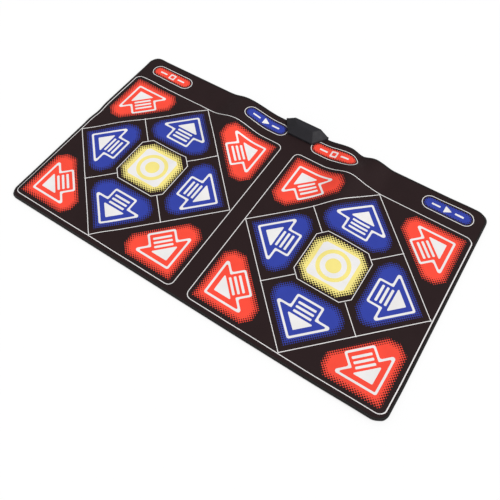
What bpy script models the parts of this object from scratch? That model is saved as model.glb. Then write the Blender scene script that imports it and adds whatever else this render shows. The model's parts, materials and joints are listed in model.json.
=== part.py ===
"""A folding double dance mat: two pads of eleven pressure keys each on one soft mat, with a control box.

Metres, +Z up. X runs along the mat's long side and Y from its front edge to its rear edge, where the
control box sits. The origin is at the middle of the whole object's outline, on the floor.
"""

import math

import bmesh
import bpy
from mathutils import Matrix, Vector

# Mat outline
MAT_WIDTH = 1.650
MAT_DEPTH = 0.9455
MAT_CORNER_RADIUS = 0.044

# Layers, from the floor up
SHEET_THICKNESS = 0.0008
BASE_FOAM_THICKNESS = 0.0035
FILM_THICKNESS = 0.0003
SPACER_THICKNESS = 0.0022
COVER_THICKNESS = 0.0008
BINDING_LIP = 0.008

# Pads: the printed squares that hold nine keys each fill what these margins leave of the mat
PAD_SIDE_MARGIN = 0.012
PAD_FRONT_MARGIN = 0.024
PAD_REAR_STRIP = 0.1365
PAD_SPACING = 0.066

# Keys
CENTRE_KEY_WIDTH = 0.196
CENTRE_KEY_DEPTH = 0.183
CENTRE_KEY_CHAMFER = 0.034
CENTRE_KEY_SPACE = 0.055
ARROW_KEY_HALF_WIDTH = 0.129
ARROW_TIP_MARGIN = 0.052
CORNER_KEY_MARGIN = 0.029
PILL_KEY_LENGTH = 0.148
PILL_KEY_DEPTH = 0.050
PILL_ROUNDNESS = 0.98
PILL_FROM_REAR = 0.0635
PILL_FROM_SIDE = 0.145
PILL_FROM_BOX = 0.018

# Folds: the two lines, between columns of keys, on which the outer panels turn over the middle one
FOLD_MARGIN = 0.009
FOLD_LINE_RISE = 0.001

# Control box
BOX_CENTRE_X = 0.0085
BOX_FRONT_WIDTH = 0.119
BOX_REAR_WIDTH = 0.215
BOX_REACH = 0.0665
BOX_OVERHANG = 0.0035
BOX_LIP_HEIGHT = 0.0103
BOX_LIP_STEP = 0.0012
BOX_SLOPE_HEIGHT = 0.025
BOX_TOP_FRONT_WIDTH = 0.077
BOX_TOP_REAR_WIDTH = 0.128
BOX_TOP_FRONT_SETBACK = 0.039
BOX_TOP_REAR_SETBACK = 0.002
BOX_WALL = 0.0022
BOX_FLOOR = 0.002
BOX_CORNER_RADIUS = 0.003
BOX_EDGE_BEVEL = 0.0005
BOX_CLAMP_WIDTH = 0.007

# Case screws and the bosses that they run in
SCREW_RADIUS = 0.00145
SCREW_HEAD_RADIUS = 0.0028
SCREW_HEAD_HEIGHT = 0.0019
SCREW_HEAD_RECESS = 0.0004
SCREW_BITE = 0.011
BOSS_WALL = 0.0014
BOSS_SIDE_INSET = 0.0163
FRONT_BOSS_SETBACK = 0.015
REAR_BOSS_SETBACK = 0.019

# Circuit board and what it carries
BOARD_WIDTH = 0.080
BOARD_DEPTH = 0.040
BOARD_THICKNESS = 0.0016
BOARD_FRONT_SETBACK = 0.013
BOARD_SCREW_RADIUS = 0.0011
BOARD_SCREW_HEAD_RADIUS = 0.0020
BOARD_SCREW_HEAD_HEIGHT = 0.0013
BOARD_SCREW_LENGTH = 0.0040
BOARD_SCREW_INSET = 0.006
BOARD_POST_RADIUS = 0.0027
CHIP_RADIUS = 0.008
CHIP_HEIGHT = 0.0024
HEADER_WIDTH = 0.012
HEADER_DEPTH = 0.006
HEADER_HEIGHT = 0.007
HEADER_WALL = 0.0010
HEADER_OFFSET_X = 0.022
TAIL_WIDTH = 0.022
TAIL_SPACING = 0.038
TAIL_OVERLAP = 0.008
PRESSURE_BAR_DEPTH = 0.006

# Cord inlet bush in the rear wall
BUSH_RADIUS = 0.0036
BUSH_BORE_RADIUS = 0.0023
BUSH_FLANGE_RADIUS = 0.0052
BUSH_FLANGE_THICKNESS = 0.0014
BUSH_RISE = 0.0085

# Clearances
LAYER_GAP = 0.0003
FIT_GAP = 0.0003
KEY_CLEARANCE = 0.0005
BOX_CLEARANCE = 0.0005
FOLD_GAP = 0.0006
CUT_OVERLAP = 0.005

# Facets
CORNER_STEPS = 6
BOX_CORNER_STEPS = 3
PILL_STEPS = 4
TURNED_STEPS = 16
DOME_STEPS = 4

# Heights of the layers
FOAM_BOTTOM = SHEET_THICKNESS + LAYER_GAP
FOAM_TOP = FOAM_BOTTOM + BASE_FOAM_THICKNESS
LOWER_FILM_BOTTOM = FOAM_TOP + LAYER_GAP
SPACER_BOTTOM = LOWER_FILM_BOTTOM + FILM_THICKNESS + LAYER_GAP
UPPER_FILM_BOTTOM = SPACER_BOTTOM + SPACER_THICKNESS + LAYER_GAP
COVER_BOTTOM = UPPER_FILM_BOTTOM + FILM_THICKNESS + LAYER_GAP
COVER_TOP = COVER_BOTTOM + COVER_THICKNESS
BINDING_TOP = COVER_TOP + LAYER_GAP + SHEET_THICKNESS
FOLD_LINE_Z = BINDING_TOP + FOLD_LINE_RISE

# Places in plan
BUSH_PROUD = max(0.0, FIT_GAP + BUSH_FLANGE_THICKNESS - BOX_LIP_STEP)
TOTAL_DEPTH = MAT_DEPTH + BOX_OVERHANG + BUSH_PROUD
MAT_FRONT = -TOTAL_DEPTH / 2
MAT_REAR = MAT_FRONT + MAT_DEPTH
BOX_FRONT = MAT_REAR - BOX_REACH
BOX_REAR = MAT_REAR + BOX_OVERHANG
PAD_WIDTH = (MAT_WIDTH - PAD_SPACING) / 2 - PAD_SIDE_MARGIN
PAD_DEPTH = MAT_DEPTH - PAD_FRONT_MARGIN - PAD_REAR_STRIP
PAD_X = MAT_WIDTH / 2 - PAD_SIDE_MARGIN - PAD_WIDTH / 2
PAD_Y = MAT_FRONT + PAD_FRONT_MARGIN + PAD_DEPTH / 2
FOLD_X = PAD_X + ARROW_KEY_HALF_WIDTH + FOLD_MARGIN

# Heights of the control box
SHELL_SEAM = COVER_TOP + LAYER_GAP
LIP_TOP = SHELL_SEAM + BOX_LIP_HEIGHT
BOX_TOP = LIP_TOP + BOX_SLOPE_HEIGHT
BOSS_RADIUS = SCREW_HEAD_RADIUS + FIT_GAP + BOSS_WALL
BOARD_BOTTOM = SPACER_BOTTOM
BOARD_TOP = BOARD_BOTTOM + BOARD_THICKNESS
BOARD_FRONT = BOX_FRONT + BOARD_FRONT_SETBACK

# sRGB colour, roughness
FINISHES = {
    "base_rubber": ((40, 38, 38), 0.85),
    "foam": ((96, 94, 92), 0.95),
    "circuit_film": ((196, 200, 205), 0.35),
    "cover_black": ((47, 36, 36), 0.60),
    "binding_black": ((34, 32, 32), 0.80),
    "key_red": ((238, 72, 52), 0.55),
    "key_blue": ((44, 58, 156), 0.55),
    "key_yellow": ((240, 224, 122), 0.55),
    "box_plastic": ((52, 52, 57), 0.50),
    "board_green": ((28, 92, 58), 0.45),
    "chip_epoxy": ((18, 18, 20), 0.40),
    "header_plastic": ((228, 224, 214), 0.45),
    "bar_rubber": ((70, 70, 72), 0.90),
    "screw_steel": ((176, 178, 182), 0.35),
}
METALS = ("screw_steel",)


def start_empty():
    for obj in list(bpy.data.objects):
        bpy.data.objects.remove(obj, do_unlink=True)


def new_collection(name):
    collection = bpy.data.collections.new(name)
    bpy.context.scene.collection.children.link(collection)
    return collection


start_empty()
PARTS = new_collection("dance_mat_controller")
CUTTERS = new_collection("cutters")


# Materials


def linear(value):
    share = value / 255
    return share / 12.92 if share <= 0.04045 else ((share + 0.055) / 1.055) ** 2.4


def finish_of(name):
    found = bpy.data.materials.get(name)
    if found:
        return found
    colour, roughness = FINISHES[name]
    material = bpy.data.materials.new(name)
    material.use_nodes = True
    shader = material.node_tree.nodes["Principled BSDF"]
    shader.inputs["Base Color"].default_value = (*map(linear, colour), 1)
    shader.inputs["Roughness"].default_value = roughness
    shader.inputs["Metallic"].default_value = 1.0 if name in METALS else 0.0
    return material


# Outlines in plan: lists of (x, y), counterclockwise


def rectangle(left, right, front, rear):
    return [(left, front), (right, front), (right, rear), (left, rear)]


def turned_about(outline, angle, x, y):
    turn = Matrix.Rotation(angle, 2)
    return [tuple(turn @ Vector(point) + Vector((x, y))) for point in outline]


def mirrored(outline):
    return [(-x, y) for x, y in reversed(outline)]


def crossing(a, b, c, d):
    """Where the line through a and b meets the line through c and d."""
    along, other = b - a, d - c
    share = (c - a).cross(other) / along.cross(other)
    return a + along * share


def moved_out(outline, distance):
    """A convex outline with each side moved out by the distance, or in where it is negative."""
    sides = []
    for start, end in zip(outline, outline[1:] + outline[:1]):
        start, end = Vector(start), Vector(end)
        out = Vector((end.y - start.y, start.x - end.x)).normalized() * distance
        sides.append((start + out, end + out))
    return [tuple(crossing(*sides[i - 1], *sides[i])) for i in range(len(sides))]


def rounded(outline, radii, steps):
    """An outline with an arc at each corner that has a radius."""
    points = []
    for i, corner in enumerate(outline):
        if not radii[i]:
            points.append(corner)
            continue
        corner = Vector(corner)
        before = (Vector(outline[i - 1]) - corner).normalized()
        after = (Vector(outline[(i + 1) % len(outline)]) - corner).normalized()
        half_angle = before.angle(after) / 2
        reach = radii[i] / math.tan(half_angle)
        middle = corner + (before + after).normalized() * (radii[i] / math.sin(half_angle))
        first = corner + before * reach - middle
        sweep = math.pi - 2 * half_angle
        for step in range(steps + 1):
            turn = Matrix.Rotation(sweep * step / steps, 2)
            points.append(tuple(middle + turn @ first))
    return points


def stadium(length, depth):
    radius = depth / 2
    corners = rectangle(-length / 2, length / 2, -radius, radius)
    return rounded(corners, [radius * PILL_ROUNDNESS] * 4, PILL_STEPS)


# Solids


def spline_outline(data, outline):
    spline = data.splines.new("POLY")
    spline.points.add(len(outline) - 1)
    for point, (x, y) in zip(spline.points, outline):
        point.co = (x, y, 0, 1)
    spline.use_cyclic_u = True


def slab(name, outlines, bottom, thickness):
    """A flat outline with thickness. The outlines after the first are holes in it."""
    data = bpy.data.curves.new(name, "CURVE")
    data.dimensions = "2D"
    data.fill_mode = "BOTH"
    data.extrude = thickness / 2
    for outline in outlines:
        spline_outline(data, outline)
    obj = bpy.data.objects.new(name, data)
    obj.location.z = bottom + thickness / 2
    return obj


def add_part(obj, finish, parent=None):
    """Puts an object placed in the world into the model, under its parent empty if it has one."""
    PARTS.objects.link(obj)
    obj.data.materials.clear()
    obj.data.materials.append(finish_of(finish))
    if parent:
        obj.location -= parent.location
        obj.parent = parent
    return obj


def add_cutter(obj):
    CUTTERS.objects.link(obj)
    obj.hide_render = True
    obj.display_type = "WIRE"
    return obj


def as_mesh(curve_object):
    """A curve object made a closed mesh, which a Boolean can cut."""
    CUTTERS.objects.link(curve_object)
    bpy.context.view_layer.update()
    graph = bpy.context.evaluated_depsgraph_get()
    mesh = bpy.data.meshes.new_from_object(curve_object.evaluated_get(graph))
    form = bmesh.new()
    form.from_mesh(mesh)
    bmesh.ops.remove_doubles(form, verts=form.verts, dist=1e-6)
    bmesh.ops.recalc_face_normals(form, faces=form.faces)
    form.to_mesh(mesh)
    form.free()
    name = curve_object.name
    matrix = curve_object.matrix_world.copy()
    bpy.data.objects.remove(curve_object, do_unlink=True)
    obj = bpy.data.objects.new(name, mesh)
    obj.matrix_world = matrix
    return obj


def loft(name, rings):
    """A closed solid through outlines of equal counts, given as (height, outline) from the bottom up."""
    form = bmesh.new()
    loops = [[form.verts.new((x, y, z)) for x, y in outline] for z, outline in rings]
    for lower, upper in zip(loops, loops[1:]):
        for i in range(len(lower)):
            j = (i + 1) % len(lower)
            form.faces.new((lower[i], lower[j], upper[j], upper[i]))
    form.faces.new(list(reversed(loops[0])))
    form.faces.new(loops[-1])
    mesh = bpy.data.meshes.new(name)
    form.to_mesh(mesh)
    form.free()
    return bpy.data.objects.new(name, mesh)


def turned(name, profile, closed):
    """A turned solid about Z. The profile is (radius, height) points, down its outer side."""
    count = len(profile)
    edges = [(i, i + 1) for i in range(count - 1)]
    if closed:
        edges.append((count - 1, 0))
    mesh = bpy.data.meshes.new(name)
    mesh.from_pydata([(radius, 0, height) for radius, height in profile], edges, [])
    obj = bpy.data.objects.new(name, mesh)
    turn = obj.modifiers.new("turn", "SCREW")
    turn.steps = TURNED_STEPS
    turn.render_steps = TURNED_STEPS
    turn.use_merge_vertices = True
    turn.merge_threshold = 1e-5
    turn.use_smooth_shade = False
    return obj


def cylinder(name, x, y, bottom, top, radius):
    form = bmesh.new()
    bmesh.ops.create_cone(
        form, cap_ends=True, segments=TURNED_STEPS, radius1=radius, radius2=radius, depth=top - bottom
    )
    mesh = bpy.data.meshes.new(name)
    form.to_mesh(mesh)
    form.free()
    obj = bpy.data.objects.new(name, mesh)
    obj.location = (x, y, (bottom + top) / 2)
    return obj


def box(name, width, depth, height, x, y, bottom):
    form = bmesh.new()
    bmesh.ops.create_cube(form, size=1)
    bmesh.ops.scale(form, vec=(width, depth, height), verts=form.verts)
    mesh = bpy.data.meshes.new(name)
    form.to_mesh(mesh)
    form.free()
    obj = bpy.data.objects.new(name, mesh)
    obj.location = (x, y, bottom + height / 2)
    return obj


def boolean(obj, other, operation):
    step = obj.modifiers.new(other.name, "BOOLEAN")
    step.operation = operation
    step.object = other
    step.solver = "EXACT"


# Mat panels


def flap_outline(inset, past_fold=0.0):
    """The right outer panel, inset from the mat's edge, and carried past the fold where asked."""
    corners = rectangle(
        FOLD_X + FOLD_GAP / 2 - past_fold,
        MAT_WIDTH / 2 - inset,
        MAT_FRONT + inset,
        MAT_REAR - inset,
    )
    radius = MAT_CORNER_RADIUS - inset
    return rounded(corners, [0, radius, radius, 0], CORNER_STEPS)


def box_trapezoid(inset):
    """The control box's outline on the mat, moved in by the inset, without its rounded corners."""
    front, rear = BOX_FRONT_WIDTH / 2, BOX_REAR_WIDTH / 2
    outline = [(-front, BOX_FRONT), (front, BOX_FRONT), (rear, BOX_REAR), (-rear, BOX_REAR)]
    return moved_out([(BOX_CENTRE_X + x, y) for x, y in outline], -inset)


def box_half_width(y):
    """Half the width of the control box's outline at this y."""
    share = (y - BOX_FRONT) / (BOX_REAR - BOX_FRONT)
    return (BOX_FRONT_WIDTH + (BOX_REAR_WIDTH - BOX_FRONT_WIDTH) * share) / 2


def side_crossings(trapezoid, y):
    """The two points where the control box's slanting sides cross this y, right side first."""
    front_left, front_right, rear_right, rear_left = map(Vector, trapezoid)
    level = (Vector((0, y)), Vector((1, y)))
    return tuple(crossing(front_right, rear_right, *level)), tuple(crossing(front_left, rear_left, *level))


def tail_tongue(side, notch_front):
    """The points that a circuit film's tail adds to the front of the notch, from right to left."""
    middle = BOX_CENTRE_X + side * TAIL_SPACING / 2
    right, left = middle + TAIL_WIDTH / 2, middle - TAIL_WIDTH / 2
    tip = BOARD_FRONT + TAIL_OVERLAP
    return [(right, notch_front), (right, tip), (left, tip), (left, notch_front)]


def centre_outline(inset, notch_inset, with_tails=False):
    """The middle panel, inset from the mat's front and rear, with the control box's notch at the rear."""
    half = FOLD_X - FOLD_GAP / 2
    front, rear = MAT_FRONT + inset, MAT_REAR - inset
    notch = box_trapezoid(notch_inset)
    right, left = side_crossings(notch, rear)
    tails = []
    if with_tails:
        tails = tail_tongue(1, notch[1][1]) + tail_tongue(-1, notch[0][1])
    corners = [(-half, rear), (-half, front), (half, front), (half, rear)]
    return [*corners, right, notch[1], *tails, notch[0], left]


def panel_outline(panel, inset, notch_inset, with_tails=False):
    if panel == "centre":
        return centre_outline(inset, notch_inset, with_tails)
    outline = flap_outline(inset)
    return outline if panel == "right" else mirrored(outline)


# Keys: the parts of the cover that a foot presses, each with the upper film under it


def arrow_outline(depth):
    """An arrow key about its middle, with its tip towards +Y."""
    half, tip = ARROW_KEY_HALF_WIDTH, depth / 2
    side = [(0.93, 0.63), (1.0, 0.77), (0.94, 0.88), (0.70, 1.0)]
    left = [(-half * x, tip - depth * y) for x, y in side]
    right = [(half * x, tip - depth * y) for x, y in reversed(side)]
    return [(0, tip)] + left + right


def corner_outline(width, depth, to_right, to_rear):
    """A corner key about its middle, with its square corner towards its side of the pad."""
    shape = [(0, 0), (0, 0.89), (0.12, 1), (0.31, 1), (1, 0.31), (1, 0.12), (0.89, 0)]
    outline = [(to_right * width * (0.5 - x), to_rear * depth * (0.5 - y)) for x, y in shape]
    return outline if to_right != to_rear else outline[::-1]


def centre_key_outline():
    half_width, half_depth = CENTRE_KEY_WIDTH / 2, CENTRE_KEY_DEPTH / 2
    left, right = CENTRE_KEY_CHAMFER - half_width, half_width - CENTRE_KEY_CHAMFER
    front, rear = CENTRE_KEY_CHAMFER - half_depth, half_depth - CENTRE_KEY_CHAMFER
    return [
        (left, -half_depth),
        (right, -half_depth),
        (half_width, front),
        (half_width, rear),
        (right, half_depth),
        (left, half_depth),
        (-half_width, rear),
        (-half_width, front),
    ]


def pad_keys(side):
    """The keys of one pad, as (name, panel, outline, x, y, angle, finish)."""
    pad = "right_pad" if side > 0 else "left_pad"
    x, y = side * PAD_X, PAD_Y
    outer = "right" if side > 0 else "left"
    keys = [(f"{pad}_centre_key", "centre", centre_key_outline(), x, y, 0, "key_yellow")]

    for name, angle in (("up", 0), ("left", 90), ("down", 180), ("right", 270)):
        turn = math.radians(angle)
        upright = name in ("up", "down")
        base = (CENTRE_KEY_DEPTH if upright else CENTRE_KEY_WIDTH) / 2 + CENTRE_KEY_SPACE
        tip = (PAD_DEPTH if upright else PAD_WIDTH) / 2 - ARROW_TIP_MARGIN
        middle = (base + tip) / 2
        panel = outer if name == outer else "centre"
        place = (x - middle * math.sin(turn), y + middle * math.cos(turn))
        keys.append((f"{pad}_{name}_key", panel, arrow_outline(tip - base), *place, turn, "key_blue"))

    inner_edge = ARROW_KEY_HALF_WIDTH + 2 * FOLD_MARGIN
    width = PAD_WIDTH / 2 - CORNER_KEY_MARGIN - inner_edge
    depth = PAD_DEPTH / 2 - CORNER_KEY_MARGIN - inner_edge
    across, along = inner_edge + width / 2, inner_edge + depth / 2
    corners = (("up_left", -1, 1), ("down_left", -1, -1), ("down_right", 1, -1), ("up_right", 1, 1))
    for name, to_right, to_rear in corners:
        panel = outer if to_right == side else "centre"
        outline = corner_outline(width, depth, to_right, to_rear)
        place = (x + to_right * across, y + to_rear * along)
        keys.append((f"{pad}_{name}_key", panel, outline, *place, 0, "key_red"))

    pill_y = MAT_REAR - PILL_FROM_REAR
    near_box = BOX_CENTRE_X + box_half_width(pill_y + PILL_KEY_DEPTH / 2) + PILL_FROM_BOX
    inner_x = side * (near_box + PILL_KEY_LENGTH / 2)
    outer_x = side * (MAT_WIDTH / 2 - PILL_FROM_SIDE)
    select_x, start_x = (inner_x, outer_x) if side > 0 else (outer_x, inner_x)
    for name, pill_x, finish in (("select", select_x, "key_red"), ("start", start_x, "key_blue")):
        panel = outer if pill_x == outer_x else "centre"
        pill = stadium(PILL_KEY_LENGTH, PILL_KEY_DEPTH)
        keys.append((f"{pad}_{name}_key", panel, pill, pill_x, pill_y, 0, finish))
    return keys


KEYS = pad_keys(-1) + pad_keys(1)


def windows(panel):
    """The holes that a panel's layers have for its keys."""
    return [
        turned_about(moved_out(outline, KEY_CLEARANCE), angle, x, y)
        for name, home, outline, x, y, angle, finish in KEYS
        if home == panel
    ]


def fold_axis(name, x):
    axis = bpy.data.objects.new(name, None)
    axis.location = (x, PAD_Y, FOLD_LINE_Z)
    PARTS.objects.link(axis)
    return axis


def build_panel(panel, axis):
    """The six layers of a panel. Only the sheet and the foam stop at the control box's lower shell."""
    sheet_inset = BINDING_LIP + LAYER_GAP
    layer_inset = SHEET_THICKNESS + LAYER_GAP
    layers = (
        ("base_sheet", 0, SHEET_THICKNESS, sheet_inset, "base_rubber"),
        ("base_foam", FOAM_BOTTOM, BASE_FOAM_THICKNESS, layer_inset, "foam"),
        ("lower_film", LOWER_FILM_BOTTOM, FILM_THICKNESS, layer_inset, "circuit_film"),
        ("spacer_foam", SPACER_BOTTOM, SPACER_THICKNESS, layer_inset, "foam"),
        ("upper_film", UPPER_FILM_BOTTOM, FILM_THICKNESS, layer_inset, "circuit_film"),
        ("top_cover", COVER_BOTTOM, COVER_THICKNESS, layer_inset, "cover_black"),
    )
    for layer, bottom, thickness, inset, finish in layers:
        below_keys = layer in ("base_sheet", "base_foam", "lower_film")
        notch_inset = -BOX_CLEARANCE if layer in ("base_sheet", "base_foam") else BOX_CLAMP_WIDTH
        outline = panel_outline(panel, inset, notch_inset, layer == "lower_film")
        holes = [] if below_keys else windows(panel)
        add_part(slab(f"{panel}_{layer}", [outline, *holes], bottom, thickness), finish, axis)


def build_key(key, axes):
    name, panel, outline, x, y, angle, finish = key
    obj = slab(name, [outline], UPPER_FILM_BOTTOM, COVER_TOP - UPPER_FILM_BOTTOM)
    obj.location.x = x
    obj.location.y = y
    obj.rotation_euler.z = angle
    add_part(obj, finish, axes[panel])


# Edge binding: a tape folded round the mat's edge


def binding(name, outline, groove, axis=None):
    """A strip with the layers' groove cut out of its inner side, which leaves a C in section."""
    strip = as_mesh(slab(name, [outline], 0, BINDING_TOP))
    groove_height = BINDING_TOP - 2 * SHEET_THICKNESS
    cutter = add_cutter(as_mesh(slab(f"{name}_groove", [groove], SHEET_THICKNESS, groove_height)))
    boolean(strip, cutter, "DIFFERENCE")
    add_part(strip, "binding_black", axis)


def flap_binding(name, axis, side):
    """The binding of an outer panel, on its three free edges."""
    outside = flap_outline(0)
    inside = flap_outline(BINDING_LIP)
    outline = outside + inside[::-1]
    groove = flap_outline(SHEET_THICKNESS, past_fold=CUT_OVERLAP)
    if side < 0:
        outline, groove = mirrored(outline), mirrored(groove)
    binding(name, outline, groove, axis)


def centre_bindings():
    """The binding along the middle panel's front, and on each side of the control box at its rear."""
    half = FOLD_X - FOLD_GAP / 2
    past = half + CUT_OVERLAP
    front = rectangle(-half, half, MAT_FRONT, MAT_FRONT + BINDING_LIP)
    front_groove = rectangle(-past, past, MAT_FRONT + SHEET_THICKNESS, MAT_FRONT + BINDING_LIP + CUT_OVERLAP)
    binding("front_edge_binding", front, front_groove)

    lip_y = MAT_REAR - BINDING_LIP
    beside_box = box_trapezoid(-BOX_CLEARANCE)
    lip_right, lip_left = side_crossings(beside_box, lip_y)
    edge_right, edge_left = side_crossings(beside_box, MAT_REAR)
    groove_y = (lip_y - CUT_OVERLAP, MAT_REAR - SHEET_THICKNESS)
    right = [lip_right, (half, lip_y), (half, MAT_REAR), edge_right]
    right_groove = rectangle(lip_right[0] - CUT_OVERLAP, past, *groove_y)
    binding("rear_right_edge_binding", right, right_groove)
    left = [(-half, lip_y), lip_left, edge_left, (-half, MAT_REAR)]
    left_groove = rectangle(-past, lip_left[0] + CUT_OVERLAP, *groove_y)
    binding("rear_left_edge_binding", left, left_groove)


# Control box


def box_outline(inset):
    return rounded(box_trapezoid(inset), [BOX_CORNER_RADIUS] * 4, BOX_CORNER_STEPS)


def box_top_outline(inset):
    front, rear = BOX_TOP_FRONT_WIDTH / 2, BOX_TOP_REAR_WIDTH / 2
    front_y, rear_y = BOX_FRONT + BOX_TOP_FRONT_SETBACK, BOX_REAR - BOX_TOP_REAR_SETBACK
    outline = [(-front, front_y), (front, front_y), (rear, rear_y), (-rear, rear_y)]
    corners = moved_out([(BOX_CENTRE_X + x, y) for x, y in outline], -inset)
    return rounded(corners, [BOX_CORNER_RADIUS] * 4, BOX_CORNER_STEPS)


def boss_places():
    """The four case screws, as (name, x, y)."""
    places = []
    for end, y in (("front", BOX_FRONT + FRONT_BOSS_SETBACK), ("rear", BOX_REAR - REAR_BOSS_SETBACK)):
        reach = box_half_width(y) - BOSS_SIDE_INSET
        places.append((f"{end}_left", BOX_CENTRE_X - reach, y))
        places.append((f"{end}_right", BOX_CENTRE_X + reach, y))
    return places


def board_screw_places():
    y = BOARD_FRONT + BOARD_DEPTH / 2
    reach = BOARD_WIDTH / 2 - BOARD_SCREW_INSET
    return [("left", BOX_CENTRE_X - reach, y), ("right", BOX_CENTRE_X + reach, y)]


def screw_clearance(name, x, y):
    """The space that a case screw needs: a recess for its head below, and a hole up into the upper shell."""
    hole_radius, recess_radius = SCREW_RADIUS + FIT_GAP, SCREW_HEAD_RADIUS + FIT_GAP
    hole_top = SHELL_SEAM + SCREW_BITE + FIT_GAP
    recess_top = SCREW_HEAD_RECESS + SCREW_HEAD_HEIGHT + FIT_GAP
    profile = [
        (0, hole_top),
        (hole_radius, hole_top),
        (hole_radius, recess_top),
        (recess_radius, recess_top),
        (recess_radius, -CUT_OVERLAP),
        (0, -CUT_OVERLAP),
    ]
    clearance = turned(f"{name}_screw_clearance", profile, closed=False)
    clearance.location = (x, y, 0)
    return add_cutter(clearance)


def build_upper_shell(clearances):
    """The cover of the control box: an upright lip, sloping sides and a flat top, hollow, with bosses."""
    shell = loft(
        "upper_box_shell",
        [
            (SHELL_SEAM, box_outline(0)),
            (LIP_TOP, box_outline(0)),
            (LIP_TOP, box_outline(BOX_LIP_STEP)),
            (BOX_TOP, box_top_outline(0)),
        ],
    )
    edges = shell.modifiers.new("edges", "BEVEL")
    edges.width = BOX_EDGE_BEVEL
    edges.segments = 1
    edges.limit_method = "ANGLE"

    hollow = loft(
        "upper_shell_hollow",
        [
            (SHELL_SEAM - CUT_OVERLAP, box_outline(BOX_WALL)),
            (LIP_TOP - BOX_WALL / 2, box_outline(BOX_WALL)),
            (BOX_TOP - BOX_WALL, box_top_outline(BOX_WALL)),
        ],
    )
    add_cutter(hollow)
    for name, x, y in boss_places():
        boss = add_cutter(
            cylinder(f"upper_{name}_boss", x, y, SHELL_SEAM - 2 * CUT_OVERLAP, BOX_TOP, BOSS_RADIUS)
        )
        boolean(hollow, boss, "DIFFERENCE")
    boolean(shell, hollow, "DIFFERENCE")

    for clearance in clearances:
        boolean(shell, clearance, "DIFFERENCE")

    opening = cylinder("bush_opening", 0, 0, -CUT_OVERLAP, CUT_OVERLAP, BUSH_RADIUS + FIT_GAP)
    opening.rotation_euler.x = math.pi / 2
    opening.location = (BOX_CENTRE_X, BOX_REAR - BOX_WALL / 2, LIP_TOP + BUSH_RISE)
    boolean(shell, add_cutter(opening), "DIFFERENCE")
    add_part(shell, "box_plastic")


def build_lower_shell(clearances):
    """The tray under the mat's layers, with a rear wall, four bosses for screws and two board posts."""
    shell = loft("lower_box_shell", [(0, box_outline(0)), (COVER_TOP, box_outline(0))])
    left, right = BOX_CENTRE_X - BOX_REAR_WIDTH / 2, BOX_CENTRE_X + BOX_REAR_WIDTH / 2
    wall_front = BOX_REAR - BOX_WALL * 1.5
    space = rectangle(left - CUT_OVERLAP, right + CUT_OVERLAP, BOX_FRONT - CUT_OVERLAP, wall_front)
    mat_space = loft("mat_space", [(FOAM_TOP, space), (LIP_TOP, space)])
    boolean(shell, add_cutter(mat_space), "DIFFERENCE")

    tray = loft("lower_shell_tray", [(BOX_FLOOR, box_outline(BOX_WALL)), (LIP_TOP, box_outline(BOX_WALL))])
    boolean(shell, add_cutter(tray), "DIFFERENCE")
    for name, x, y in boss_places():
        boss = cylinder(f"lower_{name}_boss", x, y, BOX_FLOOR / 2, COVER_TOP, BOSS_RADIUS)
        boolean(shell, add_cutter(boss), "UNION")
    for name, x, y in board_screw_places():
        post = cylinder(f"{name}_post", x, y, BOX_FLOOR / 2, BOARD_BOTTOM - FIT_GAP, BOARD_POST_RADIUS)
        boolean(shell, add_cutter(post), "UNION")

    for clearance in clearances:
        boolean(shell, clearance, "DIFFERENCE")
    post_hole_bottom = BOARD_TOP + FIT_GAP - BOARD_SCREW_LENGTH - FIT_GAP
    for name, x, y in board_screw_places():
        radius = BOARD_SCREW_RADIUS + FIT_GAP
        hole = cylinder(f"{name}_post_hole", x, y, post_hole_bottom, LIP_TOP, radius)
        boolean(shell, add_cutter(hole), "DIFFERENCE")
    add_part(shell, "box_plastic")


def case_screw(name, x, y):
    """A screw from below, with its head in the lower shell and its tip in the upper shell's boss."""
    head_top = SCREW_HEAD_RECESS + SCREW_HEAD_HEIGHT
    tip = SHELL_SEAM + SCREW_BITE
    profile = [
        (0, tip),
        (SCREW_RADIUS, tip - SCREW_RADIUS),
        (SCREW_RADIUS, head_top),
        (SCREW_HEAD_RADIUS, head_top),
        (SCREW_HEAD_RADIUS, SCREW_HEAD_RECESS),
        (0, SCREW_HEAD_RECESS),
    ]
    screw = turned(f"{name}_case_screw", profile, closed=False)
    screw.location = (x, y, 0)
    add_part(screw, "screw_steel")


def board_screw(name, x, y):
    """A screw from above, through the circuit board into the lower shell's post."""
    head_bottom = BOARD_TOP + FIT_GAP
    head_top = head_bottom + BOARD_SCREW_HEAD_HEIGHT
    tip = head_bottom - BOARD_SCREW_LENGTH
    profile = [
        (0, head_top),
        (BOARD_SCREW_HEAD_RADIUS * 0.6, head_top),
        (BOARD_SCREW_HEAD_RADIUS, head_bottom + BOARD_SCREW_HEAD_HEIGHT * 0.4),
        (BOARD_SCREW_HEAD_RADIUS, head_bottom),
        (BOARD_SCREW_RADIUS, head_bottom),
        (BOARD_SCREW_RADIUS, tip + BOARD_SCREW_RADIUS),
        (0, tip),
    ]
    screw = turned(f"{name}_board_screw", profile, closed=False)
    screw.location = (x, y, 0)
    add_part(screw, "screw_steel")


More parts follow.
